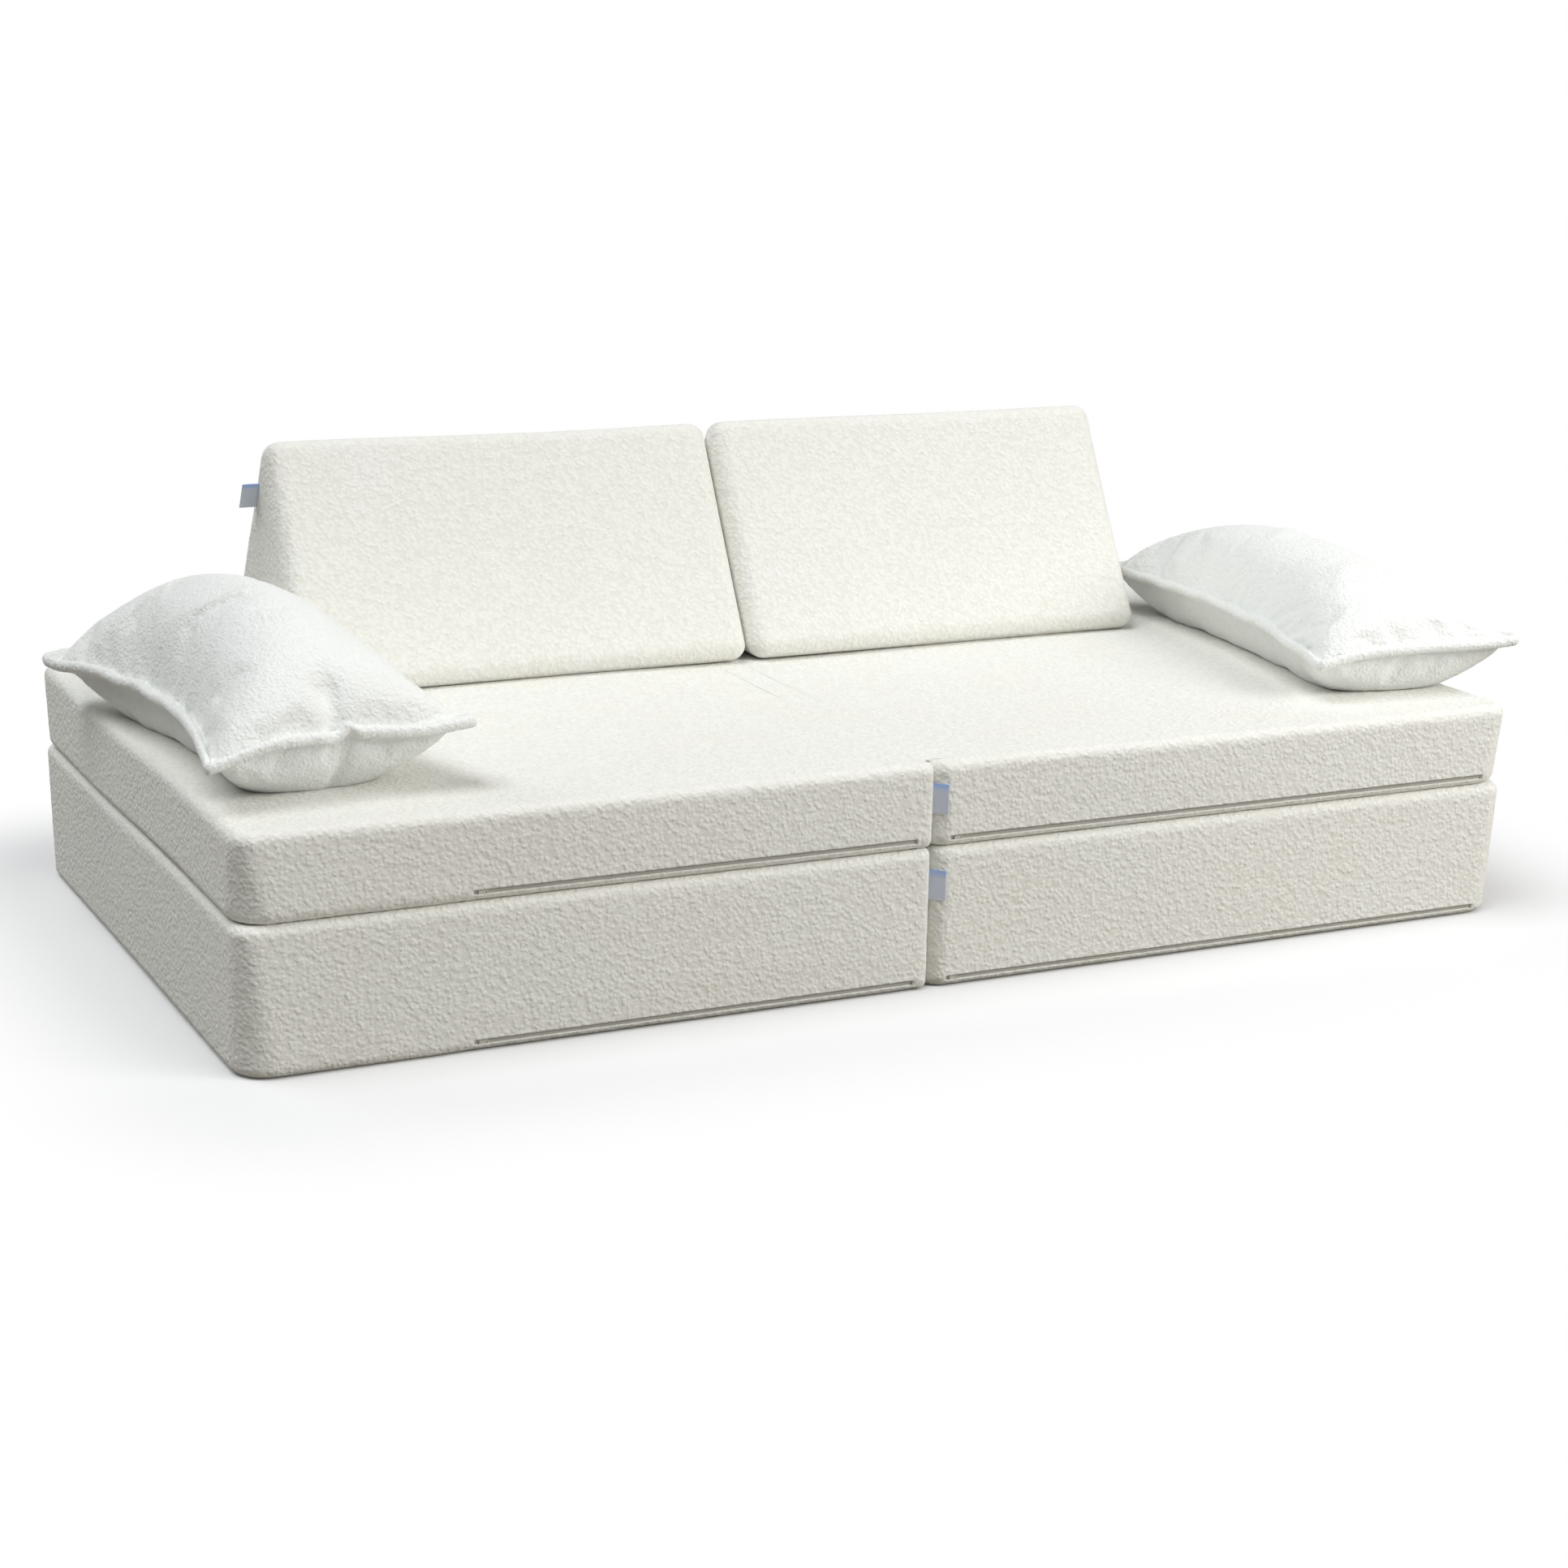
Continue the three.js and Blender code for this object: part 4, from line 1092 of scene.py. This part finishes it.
def boucle_material(context):
    """Cream boucle of the covers, built once."""
    colours, name = context.scene.sofa_colours, "Cream Boucle"
    return bpy.data.materials.get(name) or boucle(
        name, colours.cover, colours.cover_hollow_shade, (1.0, 0.985, 0.96), 5.5 * MM, 1.25 * MM, 0.12)


def pillow_material(context):
    """Cool white boucle of the pillows."""
    colours = context.scene.sofa_colours
    return boucle(
        "White Boucle", colours.pillow, colours.pillow_hollow_shade, (1.0, 0.99, 0.98), 4.0 * MM, 1.1 * MM, 0.2)


def woven(name, colour, gap_shade_share, thread, relief, roughness, edge_colour=None):
    """A flat weave of fine threads with painted shade in the gaps between them, and another colour along its
    top edge.
    """
    material, shader, vector = new_material(name)
    weave = use_group("Fine Weave", {"Vector": vector, "Thread": thread})
    patch = use_group("Soft Mottle", {"Vector": vector, "Scale": 30.0})["Patch"]
    toned = mix_colour(patch, colour, shade(colour, 0.93))
    # Painted shade: the colour is darkened in the gaps between threads
    shown = mix_colour(weave["Gap"], toned, shade(colour, gap_shade_share))
    if edge_colour:
        place = add_node(material.node_tree, "TexCoord").outputs["Generated"]
        height = next_node("SeparateXYZ", {0: place})["Z"]
        shown = mix_colour(map_range(height, 0.7, 1.0), shown, edge_colour)
    finish_shader(shader, weave["Height"], relief, {
        "Base Color": shown, "Roughness": map_range(weave["Gap"], 0.0, 1.0, roughness, 1.0),
        "Specular IOR Level": 0.3,
    })
    return material


def grained(name, low_colour, high_colour, scale, detail, harshness, roughness, relief):
    """A material with one fine noise in its tone, its roughness and its relief."""
    material, shader, vector = new_material(name)
    grain = noise(vector, scale, detail, harshness)["Fac"]
    finish_shader(shader, grain, relief, {
        "Base Color": mix_colour(grain, low_colour, high_colour),
        "Roughness": map_range(grain, 0.3, 0.7, *roughness),
    })
    return material


def filling_material(name, colour, scale, relief):
    """Open cells of foam, or tangled fibres."""
    return grained(name, shade(colour, 0.8), colour, scale, 4.0, 0.7, (0.9, 1.0), relief)


BOUNCE_COLOUR = (0.34, 0.325, 0.295)
FLOOR_COLOURS = ((0.83, 0.83, 0.838), (0.85, 0.85, 0.855))
SEAT_FOOT = (RIGHT_END_X, SEAT_HIGH.y, 0.0)


def shown_share(tree):
    """1 for what the camera sees, also in gloss or through glass, and 0 for light that bounces."""
    seen = add_node(tree, "LightPath").outputs
    straight = math_node("MAXIMUM", seen["Is Camera Ray"], seen["Is Glossy Ray"])
    return math_node("MAXIMUM", straight, seen["Is Transmission Ray"])


def floor_material(reach):
    """Pale floor that keeps the shadow round the sofa's foot and turns white to the camera further out."""
    material, shader, vector = new_material("Studio Floor")
    tree = material.node_tree
    shown = shown_share(tree)
    toned = mix_colour(noise(vector, 6.0)["Fac"], *FLOOR_COLOURS)
    base = mix_colour(shown, BOUNCE_COLOUR, toned)
    set_inputs(shader, {"Base Color": base, "Roughness": 0.9, "Specular IOR Level": 0.0})
    apart = vector_node("SUBTRACT", vector_node("ABSOLUTE", vector), SEAT_FOOT)
    away = vector_node("LENGTH", vector_node("MAXIMUM", apart, (0.0, 0.0, 0.0)))
    far = times(map_range(away, 0.02, reach), shown)
    white = add_node(tree, "Emission").outputs[0]
    fade = next_node("MixShader", {0: far, 1: shader.outputs[0], 2: white})[0]
    set_inputs(tree.nodes["Material Output"], {"Surface": fade})
    return material


def white_world(strength):
    """Even light from all around, seen as plain white by the camera."""
    world = bpy.data.worlds.new("White Studio")
    bpy.context.scene.world = world
    world.use_nodes = True
    tree = world.node_tree
    shining = map_range(shown_share(tree), 0.0, 1.0, strength, 1.0)
    set_inputs(tree.nodes["Background"], {"Color": (1.0, 1.0, 1.0, 1.0), "Strength": shining})


# Stage

CAMERA_PLACE = Vector((-1.7309, -3.4692, 1.1660))
CAMERA_YAW = 0.4582
CAMERA_PITCH = 0.259
CAMERA_ROLL = 0.022
FOCAL_LENGTH_PIXELS = 3787.0
PICTURE_PIXELS = 1932
SENSOR_MM = 36.0


def add_camera():
    """The camera at the photograph's place and angle."""
    data = bpy.data.cameras.new("photo_view")
    data.sensor_width = SENSOR_MM
    data.lens = SENSOR_MM * FOCAL_LENGTH_PIXELS / PICTURE_PIXELS
    camera = bpy.data.objects.new("photo_view", data)
    place = Matrix.Translation(CAMERA_PLACE)
    for angle, axis in ((-CAMERA_YAW, "Z"), (math.pi / 2 - CAMERA_PITCH, "X"), (CAMERA_ROLL, "Z")):
        place = place @ Matrix.Rotation(angle, 4, axis)
    camera.matrix_world = place
    bpy.context.scene.collection.objects.link(camera)
    bpy.context.scene.camera = camera


COOL_LIGHT = (0.965, 0.99, 1.0)
WARM_LIGHT = (1.0, 0.985, 0.965)
FAR_LIGHT_WIDTH = math.radians(41.0)


def add_light(name, kind, place, target, colour, energy, **settings):
    """A light at a place that looks at a target."""
    data = bpy.data.lights.new(name, kind)
    data.color, data.energy = colour, energy
    for setting, value in settings.items():
        setattr(data, setting, value)
    light = bpy.data.objects.new(name, data)
    light.location = place
    light.rotation_mode = "QUATERNION"
    light.rotation_quaternion = (Vector(target) - Vector(place)).to_track_quat("-Z", "Y")
    bpy.context.scene.collection.objects.link(light)


def add_lights(stage):
    """Two far, wide lights, as strong on pieces lifted off the seat as at rest, and two square lamps."""
    for name, place, colour, energy in (
            ("top", (-2.2, -0.35, 5.8), COOL_LIGHT, stage.top_strength),
            ("front", (3.0, -4.0, 4.0), WARM_LIGHT, stage.front_strength)):
        add_light(name, "SUN", place, (0.0, 0.0, 0.0), colour, energy, angle=FAR_LIGHT_WIDTH)
    for name, place, target, size, colour, energy in (
            ("right", (2.6, -2.6, 1.8), (0.2, 0.0, 0.2), 1.6, WARM_LIGHT, stage.right_power),
            ("back", (-3.6, 3.3, 4.0), (0.0, 0.0, 0.3), 2.7, COOL_LIGHT, stage.back_power)):
        add_light(name, "AREA", place, target, colour, energy, shape="SQUARE", size=size)


class SOFA_OT_stage(bpy.types.Operator):
    """Floor, light and camera"""

    bl_idname = "foam_sofa.stage"
    bl_label = "Stage"

    def execute(self, context):
        stage = context.scene.sofa_stage
        half = stage.floor_size / 2
        lines = np.linspace(-half, half, 9)
        x, y = np.meshgrid(lines, lines, indexing="ij")
        points = np.stack([x.ravel(), y.ravel(), np.zeros(x.size)], 1)
        quads = sheet_quads(np.arange(x.size).reshape(x.shape))
        add_mesh("studio_floor", points, quads, floor_material(stage.shadow_reach))
        add_lights(stage)
        white_world(stage.sky_strength)
        context.scene.view_settings.view_transform = "Standard"
        add_camera()
        return {"FINISHED"}


OPERATORS = (
    SOFA_OT_block_covers,
    SOFA_OT_fold_strips,
    SOFA_OT_wedge_covers,
    SOFA_OT_pillows,
    SOFA_OT_fillings,
    SOFA_OT_trims,
    SOFA_OT_stage,
)


class SOFA_PT_panel(bpy.types.Panel):
    """Sidebar panel that lists the sofa's pieces"""

    bl_idname = "SOFA_PT_panel"
    bl_label = "Foam Sofa"
    bl_space_type = "VIEW_3D"
    bl_region_type = "UI"
    bl_category = "Foam Sofa"

    def draw(self, context):
        for settings in (context.scene.sofa_sizes, context.scene.sofa_colours, context.scene.sofa_stage):
            box = self.layout.box()
            for name in settings.__annotations__:
                box.prop(settings, name)
        for operator in OPERATORS:
            self.layout.operator(operator.bl_idname)


SETTINGS = {"sofa_sizes": SofaSizes, "sofa_colours": SofaColours, "sofa_stage": SofaStage}
CLASSES = (*SETTINGS.values(), *OPERATORS, SOFA_PT_panel)


def register():
    """Registers the classes and the settings."""
    for cls in CLASSES:
        bpy.utils.register_class(cls)
    for name, group in SETTINGS.items():
        setattr(bpy.types.Scene, name, bpy.props.PointerProperty(type=group))


def unregister():
    """Removes the settings and the classes."""
    for name in SETTINGS:
        delattr(bpy.types.Scene, name)
    for cls in reversed(CLASSES):
        bpy.utils.unregister_class(cls)


def main():
    """Builds every piece."""
    register()
    bpy.ops.foam_sofa.block_covers()
    bpy.ops.foam_sofa.fold_strips()
    bpy.ops.foam_sofa.wedge_covers()
    bpy.ops.foam_sofa.pillows()
    bpy.ops.foam_sofa.fillings()
    bpy.ops.foam_sofa.trims()
    bpy.ops.foam_sofa.stage()


if __name__ == "__main__":
    main()
